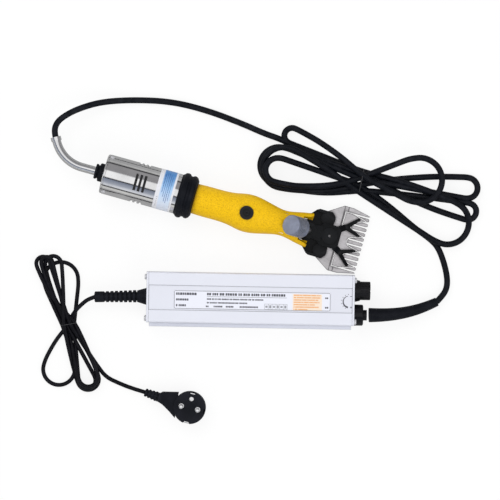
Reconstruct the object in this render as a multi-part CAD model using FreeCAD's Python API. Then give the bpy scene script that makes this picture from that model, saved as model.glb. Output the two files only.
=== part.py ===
"""Electric sheep shears: a motor handpiece, its power supply, the cable between them and the mains cord.

Everything lies on the plane z = 0, in millimetres. The origin is under the middle of the
handpiece and the power supply together, +X runs along the supply towards its speed knob, +Z is up.
"""

import FreeCAD
import Part
import math
import os

Vector = FreeCAD.Vector

# ---- driving dimensions -------------------------------------------------------------------
HANDPIECE_AT = Vector(-120.1, 67.4, 0.0)  # centre of the motor's rear face, on the floor
HANDPIECE_TURN = -15.5  # degrees about +Z
AXIS_Z = 26.2  # height of the motor's axis: the collar rests on the floor
SHELL_R = 22.8
SHELL_WALL = 1.4
SHELL_LENGTH = 87.0
VENT_START = 38.0  # middle of the first slot of each set
VENT_PITCH = 5.0
VENT_WIDTH = 2.8
VENT_LENGTH = 19.2
VENT_DEPTH = 7.4
HANDLE_START = 88.0
HANDLE_END = 242.0
HANDLE_BORE_R = 13.05
SHAFT_R = 2.5
SPINDLE_R = 4.0
CRANK_OFFSET = 3.9
RUNNING_GAP = 0.04

FORK_PIVOT_X = 241.0
CUTTER_PITCH = 17.8
COMB_WIDTH = 76.0
COMB_TEETH = 13
COMB_GAP_ROOT = 1.5
COMB_GAP_TIP = 1.9
COMB_BOTTOM = 2.8
COMB_TOP = 5.9
CUTTER_BOTTOM = 6.1
CUTTER_TOP = 8.7
NUT_TILT = 35.0  # degrees that the tension nut leans back from the vertical
NUT_R = 11.5
NUT_LENGTH = 21.0
NUT_TOP_X = 219.0
PIN_REACH = 37.4  # from the nut's top face to the middle of the tension pin's ball end
NUT_TOP_Z = 55.5

SUPPLY_AT = Vector(45.6, -76.0, 0.0)
SUPPLY_TURN = -1.05
SUPPLY_LENGTH = 235.0
SUPPLY_HEIGHT = 38.0
SUPPLY_BACK = 30.4  # the long side that faces the handpiece
SUPPLY_FRONT = -27.0  # the other long side, above the flange
FLANGE_EDGE = -32.0
SUPPLY_WALL = 2.0
END_PLATE = 2.5
KNOB_Y = 12.7
GLAND_Y = -14.9
OUTLET_Z = 19.0

CABLE_D = 7.0
MAINS_D = 4.7
PIN_D = 4.8
PIN_LENGTH = 19.0
PIN_ROOT_D = 5.8  # the thicker root that the plug's rubber holds
PIN_ROOT_STEP = 0.3  # how far the root stands above the plug's face
PIN_SPACING = 19.0

MAIN_HANK_HEIGHT = 22.0
MAINS_HANK_HEIGHT = 14.0


# ---- helpers ------------------------------------------------------------------------------
def save(name, shape):
    """Writes one node."""
    shape.exportStep(f"parts/{name}.step")


def group(solids):
    """Separate solids that share one node."""
    return Part.makeCompound(solids)


def placed(shape, at, turn):
    """A copy turned about +Z by so many degrees, then moved."""
    copy = shape.copy()
    copy.rotate(Vector(0, 0, 0), Vector(0, 0, 1), turn)
    copy.translate(at)
    return copy


def turned(profile, height=AXIS_Z):
    """A solid of revolution about the line along +X at this height, from (x, radius) corners."""
    corners = [Vector(x, 0, height + r) for x, r in profile]
    face = Part.Face(Part.makePolygon(corners + corners[:1]))
    return face.revolve(Vector(0, 0, height), Vector(1, 0, 0), 360)


def rod(start, end, radius):
    """A round bar between two points."""
    return Part.makeCylinder(radius, (end - start).Length, start, end - start)


def tube(x0, x1, outer, inner, height=AXIS_Z):
    """A tube along +X."""
    start = Vector(x0, 0, height)
    end = Vector(x1, 0, height)
    return rod(start, end, outer).cut(rod(start, end, inner))


def upright(x, y, z0, z1, radius):
    """A vertical round bar."""
    return rod(Vector(x, y, z0), Vector(x, y, z1), radius)


def block(x0, x1, y0, y1, z0, z1):
    """A box between two corners."""
    return Part.makeBox(x1 - x0, y1 - y0, z1 - z0, Vector(x0, y0, z0))


def plate(outline, z0, z1):
    """A flat plate of any outline between two heights."""
    corners = [Vector(x, y, z0) for x, y in outline]
    face = Part.Face(Part.makePolygon(corners + corners[:1]))
    return face.extrude(Vector(0, 0, z1 - z0))


def mirrored(outline):
    """The outline's other half, across the centre line, added to it."""
    return outline + [(x, -y) for x, y in reversed(outline)]


def rounded(shape, radius, keep):
    """Fillets the edges whose middle keep() accepts."""
    edges = [edge for edge in shape.Edges if keep(edge.CenterOfMass, edge)]
    return shape.makeFillet(radius, edges)


def is_upright(_, edge):
    """Whether an edge runs along +Z."""
    box = edge.BoundBox
    return box.ZLength > 0.5 and box.XLength < 0.01 and box.YLength < 0.01


def section(centre, along, half_width, half_height):
    """An upright rectangle across a bar's direction."""
    side = Vector(-along.y, along.x, 0).normalize() * half_width
    rise = Vector(0, 0, half_height)
    corners = [centre + side + rise, centre - side + rise, centre - side - rise, centre + side - rise]
    return Part.makePolygon(corners + corners[:1])


def tapered_bar(start, end, start_size, end_size):
    """A bar of rectangular section, (width, height) at each end."""
    along = end - start
    first = section(start, along, start_size[0] / 2, start_size[1] / 2)
    last = section(end, along, end_size[0] / 2, end_size[1] / 2)
    return Part.makeLoft([first, last], True, True)


def bent_path(points):
    """Straight runs joined by tangent arcs, and the radius of each arc."""
    runs = [(b - a).Length for a, b in zip(points, points[1:])]
    edges = []
    radii = []
    start = points[0]
    for i in range(1, len(points) - 1):
        back = (points[i - 1] - points[i]).normalize()
        ahead = (points[i + 1] - points[i]).normalize()
        turn = math.pi - back.getAngle(ahead)
        reach = 0.45 * min(runs[i - 1], runs[i])
        radius = reach / math.tan(turn / 2)
        enter = points[i] + back * reach
        leave = points[i] + ahead * reach
        middle = points[i] + (back + ahead).normalize() * (radius / math.cos(turn / 2) - radius)
        edges.append(Part.LineSegment(start, enter).toShape())
        edges.append(Part.Arc(enter, middle, leave).toShape())
        radii.append(radius)
        start = leave
    edges.append(Part.LineSegment(start, points[-1]).toShape())
    return Part.Wire(edges), radii


def swept(path, start, along, radius):
    """A round section along a path."""
    circle = Part.Wire(Part.Circle(start, along, radius).toShape())
    return path.makePipe(Part.Face(circle))


def cord_tube(name, points, diameter):
    """A cord's tube along its route, with its bend radii and its volume against section times length."""
    corners = [Vector(*point) for point in points]
    path, radii = bent_path(corners)
    solid = swept(path, corners[0], corners[1] - corners[0], diameter / 2)
    share = solid.Volume / (math.pi * diameter**2 / 4 * path.Length)
    print(name, "length", round(path.Length, 1), "radii", [round(r) for r in radii], "volume", round(share, 4))
    return solid


def pan_head(at, along, head_r, head_h, shank_r, shank_l):
    """A pan-head screw: its head stands out along the direction from the surface point."""
    head = rod(at, at + along * head_h, head_r)
    head = rounded(head, head_h * 0.45, lambda c, e: e.Closed and (c - at).dot(along) > head_h * 0.9)
    slot_depth = head_h * 0.45
    side = along.cross(Vector(0, 0.31, 0.95)).normalize()
    slot = section_box(at + along * (head_h - slot_depth / 2), along, side, slot_depth, head_r * 2.4, 0.9)
    shank = rod(at - along * shank_l, at, shank_r)
    return head.cut(slot).fuse(shank)


def section_box(centre, along, side, depth, length, width):
    """A small box with its axes along a direction, a side and their cross product."""
    across = along.cross(side).normalize()
    corner = centre - along * (depth / 2) - side * (length / 2) - across * (width / 2)
    wire = Part.makePolygon(
        [corner, corner + side * length, corner + side * length + across * width, corner + across * width, corner]
    )
    return Part.Face(wire).extrude(along * depth)


# ---- motor --------------------------------------------------------------------------------
def vent_slots():
    """Four sets of three slots round the motor, cut through its shell and its flux ring."""
    slots = []
    for quarter in range(4):
        for row in range(3):
            middle = VENT_START + VENT_PITCH * row
            slot = block(
                middle - VENT_WIDTH / 2,
                middle + VENT_WIDTH / 2,
                -VENT_LENGTH / 2,
                VENT_LENGTH / 2,
                AXIS_Z + SHELL_R - VENT_DEPTH,
                AXIS_Z + SHELL_R + 2,
            )
            slot.rotate(Vector(0, 0, AXIS_Z), Vector(1, 0, 0), 90 * quarter)
            slots.append(slot)
    return slots


def motor_shell():
    """Polished tube with vent slots and holes for the cap screws."""
    inner = SHELL_R - SHELL_WALL
    shell = turned(
        [(2.4, inner), (2.4, SHELL_R - 0.5), (2.9, SHELL_R), (SHELL_LENGTH, SHELL_R), (SHELL_LENGTH, inner)]
    )
    holes = [rod(at - along * 4, at + along, 1.25) for at, along in case_screw_places()]
    return shell.cut(group(vent_slots() + holes))


def case_screw_places():
    """Where the three screws that hold the rear cap stand on the shell."""
    places = []
    for angle in (62, 182, 302):
        along = Vector(0, -math.sin(math.radians(angle)), math.cos(math.radians(angle)))
        places.append((Vector(5.2, 0, AXIS_Z) + along * SHELL_R, along))
    return places


def motor_rear_cap():
    """End cap with a spigot inside the shell and a hole for the gland."""
    spigot = SHELL_R - SHELL_WALL - 0.05
    cap = turned(
        [
            (0.0, 6.1),
            (0.0, SHELL_R - 1.2),
            (1.0, SHELL_R - 0.3),
            (2.3, SHELL_R - 0.3),
            (2.3, spigot),
            (8.0, spigot),
            (8.0, spigot - 3.0),
            (2.6, spigot - 3.0),
            (2.6, 6.1),
        ]
    )
    holes = [rod(at - along * 6, at + along, 1.0) for at, along in case_screw_places()]
    return cap.cut(group(holes))


def rear_gland():
    """Rubber gland with two ribs round the steel cable tube."""
    return turned(
        [
            (-10.4, 5.05),
            (-10.4, 8.0),
            (-9.9, 8.6),
            (-8.0, 8.6),
            (-7.4, 7.6),
            (-6.3, 7.6),
            (-5.8, 9.8),
            (-5.0, 10.5),
            (-1.0, 10.5),
            (-0.05, 9.8),
            (-0.05, 6.0),
            (5.5, 6.0),
            (5.5, 5.05),
        ]
    )


# the cable tube's route in the handpiece's frame: along the motor's axis, then one bend
TUBE_CORNER = Vector(-49.6, 0, AXIS_Z)
TUBE_BEND = 119.5  # direction after the bend, degrees from the handpiece's +X
TUBE_TAIL = 28.2  # from the corner to the tube's end
TUBE_BEND_R = 40.0
FERRULE_LENGTH = 5.0


def cable_tube_path():
    """The centre line of the steel tube, and where and which way it ends."""
    out = Vector(math.cos(math.radians(TUBE_BEND)), math.sin(math.radians(TUBE_BEND)), 0)
    start = Vector(7.0, 0, AXIS_Z)
    end = TUBE_CORNER + out * TUBE_TAIL
    turn = math.radians(180 - TUBE_BEND)
    reach = TUBE_BEND_R * math.tan(turn / 2)
    enter = TUBE_CORNER + Vector(reach, 0, 0)
    leave = TUBE_CORNER + out * reach
    inward = (Vector(1, 0, 0) + out).normalize()
    middle = TUBE_CORNER + inward * (TUBE_BEND_R / math.cos(turn / 2) - TUBE_BEND_R)
    edges = [
        Part.LineSegment(start, enter).toShape(),
        Part.Arc(enter, middle, leave).toShape(),
        Part.LineSegment(leave, end).toShape(),
    ]
    return Part.Wire(edges), start, end, out


def cable_tube():
    """Bent stainless tube that carries the cable into the motor."""
    path, start, _, _ = cable_tube_path()
    outer = swept(path, start, Vector(-1, 0, 0), 5.0)
    return outer.cut(swept(path, start, Vector(-1, 0, 0), 3.7))


def tube_ferrule():
    """Polished ring at the tube's mouth."""
    _, _, end, out = cable_tube_path()
    ring = rod(end - out * FERRULE_LENGTH * 0.8, end + out * 0.6, 5.9)
    return ring.cut(rod(end - out * FERRULE_LENGTH, end, 5.02)).cut(rod(end, end + out, 3.6))


def motor_inside():
    """The parts of the motor that stand still inside its shell."""
    inner = SHELL_R - SHELL_WALL
    nodes = {}
    nodes["brush_plate"] = tube(20, 24, inner - 0.05, 6.52)
    brushes = []
    for side in (-1, 1):
        brushes.append(block(24, 36, -3, 3, AXIS_Z + side * 11.5 - 4.2, AXIS_Z + side * 11.5 + 4.2))
    nodes["brushes"] = group(brushes)
    nodes["flux_ring"] = tube(42, 80, inner - 0.05, 19.2).cut(group(vent_slots()))
    magnets = []
    for side in (0, 180):
        shell = tube(44, 78, 19.15, 15.8)
        wedge = block(43, 79, -15.5, 15.5, AXIS_Z + 2, AXIS_Z + 25)
        wedge.rotate(Vector(0, 0, AXIS_Z), Vector(1, 0, 0), side + 90)
        magnets.append(shell.common(wedge))
    nodes["stator_magnets"] = group(magnets)
    nodes["front_plate"] = turned(
        [(81, 8.02), (81, inner - 0.05), (86.9, inner - 0.05), (86.9, 16.9), (87.9, 16.9), (87.9, 8.02)]
    )
    rings = [tube(19.5, 24, 6.5, SHAFT_R + RUNNING_GAP), tube(81.5, 86.5, 8.0, SHAFT_R + RUNNING_GAP)]
    nodes["motor_bearings"] = group(rings)
    return nodes


def rotor():
    """The turning body: motor rotor, shaft, coupling, crank spindle and roller."""
    nodes = {}
    nodes["rotor_shaft"] = rod(Vector(18, 0, AXIS_Z), Vector(104, 0, AXIS_Z), SHAFT_R)
    core = tube(46, 76, 15.3, SHAFT_R)
    slots = []
    for number in range(9):
        slot = block(45, 77, -1.4, 1.4, AXIS_Z + 8.5, AXIS_Z + 16)
        slot.rotate(Vector(0, 0, AXIS_Z), Vector(1, 0, 0), 40 * number)
        slots.append(slot)
    nodes["rotor_core"] = core.cut(group(slots))
    nodes["commutator"] = tube(25.5, 40, 6.9, SHAFT_R)
    nodes["drive_coupling"] = turned([(94, SHAFT_R), (94, 6.5), (112, 6.5), (112, 0), (104, 0), (104, SHAFT_R)])
    disc = rod(Vector(198.5, 0, AXIS_Z), Vector(202.5, 0, AXIS_Z), 7.5)
    pin = rod(Vector(202.5, 0, AXIS_Z + CRANK_OFFSET), Vector(212, 0, AXIS_Z + CRANK_OFFSET), 2.5)
    spindle = rod(Vector(112, 0, AXIS_Z), Vector(198.5, 0, AXIS_Z), SPINDLE_R)
    nodes["crank_spindle"] = spindle.fuse([disc, pin]).removeSplitter()
    roller = rod(Vector(204, 0, AXIS_Z + CRANK_OFFSET), Vector(211, 0, AXIS_Z + CRANK_OFFSET), 4.0)
    nodes["crank_roller"] = roller.cut(
        rod(Vector(203, 0, AXIS_Z + CRANK_OFFSET), Vector(212.5, 0, AXIS_Z + CRANK_OFFSET), 2.5)
    )
    return nodes


# ---- handle -------------------------------------------------------------------------------
# stations along the grip: x, half width, half height, height of the middle
GRIP = [
    (HANDLE_START, 17.2, 17.2, AXIS_Z),
    (108, 17.2, 17.2, AXIS_Z),
    (128, 17.5, 17.4, AXIS_Z),
    (143, 17.8, 17.7, AXIS_Z),
    (157, 20.0, 19.5, AXIS_Z),
    (169, 21.5, 20.4, AXIS_Z),
    (181, 20.2, 19.6, AXIS_Z),
    (195, 17.0, 17.4, AXIS_Z - 0.6),
    (208, 14.6, 16.6, AXIS_Z - 1.6),
    (219, 15.6, 16.6, AXIS_Z - 3.2),
    (231, 18.2, 15.4, AXIS_Z - 5.6),
    (HANDLE_END, 20.6, 13.6, AXIS_Z - 7.6),
]


def grip_loft(stations, inset):
    """The grip's skin through its stations, drawn in by the inset."""
    wires = []
    for x, half_width, half_height, middle in stations:
        wide = half_width >= half_height
        major = max(half_width, half_height) - inset
        minor = min(half_width, half_height) - inset
        ellipse = Part.Ellipse(Vector(0, 0, 0), major + (1e-3 if major == minor else 0), minor)
        edge = ellipse.toShape()
        edge.rotate(Vector(0, 0, 0), Vector(0, 1, 0), 90)
        if wide:
            edge.rotate(Vector(0, 0, 0), Vector(1, 0, 0), 90)
        edge.translate(Vector(x, 0, middle))
        wires.append(Part.Wire(edge))
    return Part.makeLoft(wires, True, False)


def nut_axis():
    """The tilted axis of the tension nut: the middle of its top face, and the way up."""
    lean = math.radians(NUT_TILT)
    return Vector(NUT_TOP_X, 0, NUT_TOP_Z), Vector(-math.sin(lean), 0, math.cos(lean))


def handle_shell():
    """Hollow grip, bored for the spindle sleeve and opened for the tension sleeve and the head."""
    skin = grip_loft(GRIP, 0)
    top, up = nut_axis()
    nut_boss = rod(top - up * 40, top - up * (NUT_LENGTH + 0.4), NUT_R).common(skin)
    bore = rod(Vector(HANDLE_START - 1, 0, AXIS_Z), Vector(202, 0, AXIS_Z), HANDLE_BORE_R)
    front = grip_loft(GRIP[-4:], 2.6).common(block(206, HANDLE_END + 1, -30, 30, 11.5, 60))
    shell = skin.cut([bore, front]).fuse(nut_boss)
    roller_room = block(197, 213.3, -11.6, 11.6, 12.6, 34.8)
    yoke_room = block(213, 230.5, -11.6, 11.6, 12.6, 31)
    hub_room = block(227.5, HANDLE_END + 1, -11.6, 11.6, 11.5, 26.5)
    nut_room = rod(top - up * (NUT_LENGTH + 0.3), top + up, NUT_R + 0.6)
    sleeve_bore = rod(top - up * 60, top, 7.4)
    mouth = plate(mirrored([(231, 13.4), (238.5, 15.0), (240.6, 16.2), (HANDLE_END + 1, 18.8)]), 24, 45)
    floor_slot = block(225, HANDLE_END + 1, -12.2, 12.2, 0, 12)
    port = upright(OIL_PORT_X, 0, AXIS_Z, 60, 6.02).fuse(upright(OIL_PORT_X, 0, 44.6, 60, 7.85))
    sleeve_bore = sleeve_bore.common(block(200, 260, -20, 20, 24, 60))
    cuts = [roller_room, yoke_room, hub_room, nut_room, sleeve_bore, mouth, floor_slot, port]
    for side in (-1, 1):
        corner = [(239.6, 22), (239.6, 20.9), (241.4, 19.6), (HANDLE_END, 18), (HANDLE_END + 1, 18), (243, 22)]
        cuts.append(plate([(x, side * y) for x, y in corner], 0, 45))
    return shell.cut(cuts)


OIL_PORT_X = 167.5


def oil_plug():
    """Rubber plug of the oil port, with a ring recess and a blind hole."""
    body = upright(OIL_PORT_X, 0, 44.65, 47.3, 7.75).fuse(upright(OIL_PORT_X, 0, 39.5, 44.65, 5.98))
    recess = upright(OIL_PORT_X, 0, 46.3, 48, 4.4).cut(upright(OIL_PORT_X, 0, 46.3, 48, 2.9))
    return body.cut([recess, upright(OIL_PORT_X, 0, 45.2, 48, 1.2)])


def handle_inside():
    """Sleeve, bearings and the tension parts that stand still in the handle."""
    nodes = {}
    nodes["bearing_sleeve"] = tube(116, 196, HANDLE_BORE_R - 0.05, 11.02)
    rings = [tube(x, x + 7, 11.0, SPINDLE_R + RUNNING_GAP) for x in (118, 187)]
    nodes["spindle_bearings"] = group(rings)
    top, up = nut_axis()
    sleeve = rod(top - up * 23.5, top - up * 3.2, 7.4)
    nodes["tension_sleeve"] = sleeve.cut(rod(top - up * 24, top - up * 3, 3.45))
    pin_start = top - up * PIN_REACH
    pin = rod(pin_start, top - up * 3.2, 3.3)
    nodes["tension_pin"] = pin.fuse(Part.makeSphere(3.3, pin_start))
    return nodes


def tension_nut():
    """Knurled nut that sets how hard the fork presses the cutter on the comb."""
    top, up = nut_axis()
    body = Part.makeCylinder(NUT_R, NUT_LENGTH, Vector(0, 0, -NUT_LENGTH), Vector(0, 0, 1))
    body = rounded(body, 1.0, lambda c, e: e.Closed and c.z > -0.1)
    grooves = []
    for level in (-5.5, -8.5, -11.5, -14.5):
        ring = Part.makeCylinder(NUT_R + 1, 1.0, Vector(0, 0, level))
        grooves.append(ring.cut(Part.makeCylinder(NUT_R - 0.5, 1.0, Vector(0, 0, level))))
    bore = Part.makeCylinder(7.4 + RUNNING_GAP, NUT_LENGTH, Vector(0, 0, -NUT_LENGTH - 3.0))
    body = body.cut(group(grooves)).cut(bore)
    body.rotate(Vector(0, 0, 0), Vector(0, 1, 0), -NUT_TILT)
    body.translate(top)
    return body


# ---- cutting head -------------------------------------------------------------------------
BOSS_X = 258.5
BOSS_Y = 18.7
BOSS_R = 8.3


def head_casting():
    """Black head: base plate with two comb bosses, side cheeks and the pivot's tongue."""
    outline = [(236, 17.0), (244, 25.6), (247, 27), (262, 27), (266.4, 22.5), (266.4, 14), (262, 9)]
    base = plate(mirrored(outline), 6.4, 9.6)
    tongue = block(226.5, 248, -11.8, 11.8, 6.4, 9.6)
    parts = [tongue]
    for side in (-1, 1):
        parts.append(upright(BOSS_X, side * BOSS_Y, 6.4, 13.2, BOSS_R))
        cheek = plate([(238, 19.2), (244, 23.6), (255, 23.6), (255, 27), (247, 27), (243.5, 25.2)], 9.6, 21.5)
        if side < 0:
            cheek = cheek.mirror(Vector(0, 0, 0), Vector(0, 1, 0))
        slope = block(240, 275, -30, 30, 0, 14)
        slope.rotate(Vector(0, 0, 0), Vector(0, 1, 0), 28)
        slope.translate(Vector(22, 0, 137.5))
        parts.append(cheek.cut(slope))
    head = base.fuse(parts).removeSplitter()
    holes = [upright(BOSS_X, side * BOSS_Y, 6, 12.0, 2.42) for side in (-1, 1)]
    return head.cut(holes)


def comb():
    """Thirteen-tooth comb with a cross groove and two screw holes."""
    half = COMB_WIDTH / 2
    outline = [(250, 12), (250, 24), (256, 27), (273, half), (284, half), (304.2, half - 4.4)]
    body = plate(mirrored(outline), COMB_BOTTOM, COMB_TOP)
    pitch = (COMB_WIDTH - 5.0) / (COMB_TEETH - 1)
    cuts = [block(274, 278.6, -half - 1, half + 1, COMB_TOP - 0.7, COMB_TOP + 1)]
    for gap in range(COMB_TEETH - 1):
        y = (gap - (COMB_TEETH - 2) / 2) * pitch * 0.965
        near = COMB_GAP_ROOT / 2
        far = COMB_GAP_TIP / 2
        cuts.append(plate([(283, y - near), (310, y - far), (310, y + far), (283, y + near)], 0, 10))
        cuts.append(upright(283, y, 0, 10, near))
        cuts.append(plate([(300, y), (307, y - 2.6), (307, y + 2.6)], 0, 10))
    for side in (-1, 1):
        cuts.append(upright(BOSS_X, side * BOSS_Y, 0, 10, 2.7))
    nose = Part.Face(
        Part.makePolygon([Vector(x, -50, z) for x, z in ((292, 6.2), (312, 6.2), (312, 3.4), (292, 6.2))])
    ).extrude(Vector(0, 100, 0))
    cuts.append(nose)
    return body.cut(cuts)


def comb_screws():
    """The two screws that hold the comb from below."""
    screws = []
    for side in (-1, 1):
        head = rounded(upright(BOSS_X, side * BOSS_Y, 0.0, 2.7, 4.6), 0.6, lambda c, e: e.Closed and c.z < 0.1)
        screws.append(head.fuse(upright(BOSS_X, side * BOSS_Y, 2.7, 11.0, 2.38)))
    return group(screws)


def pivot_post():
    """Post that the fork rocks on."""
    foot = upright(FORK_PIVOT_X, 0, 9.6, 11.4, 6.5)
    return foot.fuse(upright(FORK_PIVOT_X, 0, 11.4, 19.0, 4.0))


def fork_body():
    """Rocking fork: a yoke behind the crank roller, the pivot hub and the front block."""
    hub = upright(FORK_PIVOT_X, 0, 12.0, 22.0, 9.0)
    neck = block(222, 236, -6.5, 6.5, 16, 22)
    yoke = block(213.5, 227, -7.0, 7.0, 17, 29.5).cut(block(213, 221, -4.3, 4.3, 16, 32))
    bar = tapered_bar(Vector(243, 0, 17), Vector(256, 0, 17), (15, 8), (19, 6))
    front = plate([(253, -10), (256, -13), (273, -13), (277, -9), (277, 9), (273, 13), (256, 13), (253, 10)], 14.2, 19)
    ring = upright(265, 0, 19, 20, 9.5)
    body = hub.fuse([neck, yoke, bar, front, ring]).removeSplitter()
    top, up = nut_axis()
    cup = Part.makeSphere(3.7, top - up * PIN_REACH)
    bore = upright(FORK_PIVOT_X, 0, 11, 19.4, 4.0 + RUNNING_GAP)
    return body.cut([bore, cup, upright(265, 0, 13, 21, 1.5)])


def foot(side):
    """One two-pronged foot that carries the cutter."""
    root = Vector(274, side * 10.5, 15.8)
    split = Vector(280.4, side * 14.6, 12.8)
    stem = tapered_bar(root, split, (7.6, 5.0), (6.6, 5.0))
    inner_tip = Vector(296.5, side * CUTTER_PITCH / 2, CUTTER_TOP + 1.2)
    outer_tip = Vector(292.6, side * CUTTER_PITCH * 1.5, CUTTER_TOP + 1.2)
    knee = upright(split.x, split.y, 10.3, 15.3, 3.3)
    inner = tapered_bar(split, inner_tip, (5.2, 5.0), (3.2, 2.4))
    outer = tapered_bar(split, outer_tip, (5.2, 5.0), (3.2, 2.4))
    pads = []
    for tip in (inner_tip, outer_tip):
        pads.append(upright(tip.x, tip.y, CUTTER_TOP, CUTTER_TOP + 2.4, 1.7))
    return stem.fuse([knee, inner, outer, *pads]).removeSplitter()


def cutter():
    """Four-point cutter that sweeps over the comb."""
    rear = 275.5
    crotch = 286.0
    edges = []
    tips = [(number - 1.5) * CUTTER_PITCH for number in range(4)]
    corners = [Vector(rear, tips[0] - 5.2, CUTTER_BOTTOM), Vector(283, tips[0] - 5.6, CUTTER_BOTTOM)]
    points = []
    for number, y in enumerate(tips):
        reach = 303.0 - 1.2 * abs(number - 1.5)
        points.append((Vector(reach, y - 0.7, CUTTER_BOTTOM), Vector(reach, y + 0.7, CUTTER_BOTTOM)))
    edges.append(Part.LineSegment(corners[0], corners[1]).toShape())
    start = corners[1]
    for number, (near, far) in enumerate(points):
        if number:
            middle_y = (tips[number - 1] + tips[number]) / 2
            left = Vector(crotch + 3.0, middle_y - 4.6, CUTTER_BOTTOM)
            right = Vector(crotch + 3.0, middle_y + 4.6, CUTTER_BOTTOM)
            edges.append(Part.LineSegment(start, left).toShape())
            edges.append(Part.Arc(left, Vector(crotch, middle_y, CUTTER_BOTTOM), right).toShape())
            start = right
        edges.append(Part.LineSegment(start, near).toShape())
        edges.append(Part.LineSegment(near, far).toShape())
        start = far
    last = [Vector(283, tips[3] + 5.6, CUTTER_BOTTOM), Vector(rear, tips[3] + 5.2, CUTTER_BOTTOM)]
    for corner in [*last, corners[0]]:
        edges.append(Part.LineSegment(start, corner).toShape())
        start = corner
    return Part.Face(Part.Wire(edges)).extrude(Vector(0, 0, CUTTER_TOP - CUTTER_BOTTOM))


# ---- power supply -------------------------------------------------------------------------
LABEL_HALF = (88.5, 10.4)
LABEL_AT = (2.1, -0.6)
RECESS = (-12.6, 15.4)


def supply_case():
    """Extruded case with a recessed label band on top and a flange along the front."""
    half = SUPPLY_LENGTH / 2 - END_PLATE
    body = block(-half, half, SUPPLY_FRONT, SUPPLY_BACK, 0, SUPPLY_HEIGHT)
    body = rounded(body, 2.0, lambda c, e: e.BoundBox.XLength > 100)
    cavity = block(
        -half - 1, half + 1, SUPPLY_FRONT + SUPPLY_WALL, SUPPLY_BACK - SUPPLY_WALL, SUPPLY_WALL, SUPPLY_HEIGHT - 2.4
    )
    recess = block(-half - 1, half + 1, RECESS[0], RECESS[1], SUPPLY_HEIGHT - 0.5, SUPPLY_HEIGHT + 1)
    flange = block(-half, half, FLANGE_EDGE, SUPPLY_FRONT + 1, 0.0, 4.0)
    return body.fuse(flange).cut([cavity, recess]).removeSplitter()


def end_plate(side):
    """One end plate, with the holes for what passes through it."""
    inner = side * (SUPPLY_LENGTH / 2 - END_PLATE)
    outer = side * SUPPLY_LENGTH / 2
    plate_box = block(min(inner, outer), max(inner, outer), SUPPLY_FRONT, SUPPLY_BACK, 0.2, SUPPLY_HEIGHT)
    plate_box = rounded(plate_box, 2.0, lambda c, e: e.BoundBox.XLength > 1)
    spots = [(KNOB_Y, 4.5), (GLAND_Y, 8.0)] if side > 0 else [(2.0, 6.5)]
    holes = []
    for y, radius in spots:
        holes.append(rod(Vector(outer - side * 6, y, OUTLET_Z), Vector(outer + side * 6, y, OUTLET_Z), radius))
    for y, z in end_screw_spots():
        holes.append(rod(Vector(outer - side * 6, y, z), Vector(outer + side * 6, y, z), 1.55))
    return plate_box.cut(holes)


def end_screw_spots():
    """Screw positions on an end plate."""
    return [(y, z) for y in (-22.4, 24.4) for z in (5.5, 32.5)]


def end_screws():
    """Eight pan-head screws, four at each end."""
    screws = []
    for side in (-1, 1):
        for y, z in end_screw_spots():
            at = Vector(side * (SUPPLY_LENGTH / 2 + 0.02), y, z)
            screws.append(pan_head(at, Vector(side, 0, 0), 3.1, 2.4, 1.5, 8.0))
    return group(screws)


def supply_inside():
    """What the case holds: board, transformer, capacitors, heat sink and the speed control."""
    nodes = {}
    nodes["circuit_board"] = block(-105, 92, -23, 26, 7.0, 8.6)
    core = block(-62, -14, -18, 20, 8.6, 33)
    nodes["transformer"] = rounded(core, 3.0, is_upright)
    nodes["capacitors"] = group([upright(x, -9, 8.6, 31, 7.5) for x in (12, 30, 48)])
    fins = [block(2, 60, y, y + 1.6, 8.6, 30) for y in (8, 13, 18, 23)]
    nodes["heat_sink"] = block(2, 60, 8, 24.6, 8.6, 11).fuse(fins).removeSplitter()
    stem = rod(Vector(114, KNOB_Y, OUTLET_Z), Vector(118.2, KNOB_Y, OUTLET_Z), 4.4)
    pot = block(104, 114.9, KNOB_Y - 9, KNOB_Y + 9, OUTLET_Z - 9, OUTLET_Z + 9)
    shaft_hole = rod(Vector(104.5, KNOB_Y, OUTLET_Z), Vector(119, KNOB_Y, OUTLET_Z), 3.0 + RUNNING_GAP)
    nodes["speed_control"] = pot.fuse(stem).cut(shaft_hole)
    return nodes


def speed_knob():
    """Skirted knob with shallow flutes and a pointer line, on its shaft."""
    base = SUPPLY_LENGTH / 2 + 0.9
    at = Vector(base, KNOB_Y, OUTLET_Z)
    skirt = Part.makeCone(12.75, 11.4, 5.6, at, Vector(1, 0, 0))
    barrel = rod(at + Vector(5.6, 0, 0), at + Vector(17.2, 0, 0), 10.5)
    barrel = rounded(barrel, 0.8, lambda c, e: e.Closed and c.x > base + 17)
    flutes = []
    for number in range(20):
        angle = math.radians(18 * number)
        centre = at + Vector(6.2, math.cos(angle) * 11.0, math.sin(angle) * 11.0)
        flutes.append(rod(centre, centre + Vector(12, 0, 0), 0.9))
    line = block(base + 16.8, base + 18, KNOB_Y - 0.6, KNOB_Y + 0.6, OUTLET_Z + 2, OUTLET_Z + 11)
    shaft = rod(Vector(105, KNOB_Y, OUTLET_Z), at + Vector(3, 0, 0), 3.0)
    return skirt.fuse(barrel).cut([*flutes, line]).fuse(shaft)


def output_gland():
    """Gland nut with a bright neck that the cable boot plugs into."""
    face = SUPPLY_LENGTH / 2 + 0.02
    start = Vector(face, GLAND_Y, OUTLET_Z)
    nut = rod(start, start + Vector(10.4, 0, 0), 12.0)
    nut = rounded(nut, 1.6, lambda c, e: e.Closed and c.x > face + 10)
    neck = rod(start - Vector(7, 0, 0), start + Vector(14.6, 0, 0), 6.0)
    return nut.fuse([neck, rod(start - Vector(7, 0, 0), start, 7.9)]).removeSplitter()


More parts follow.
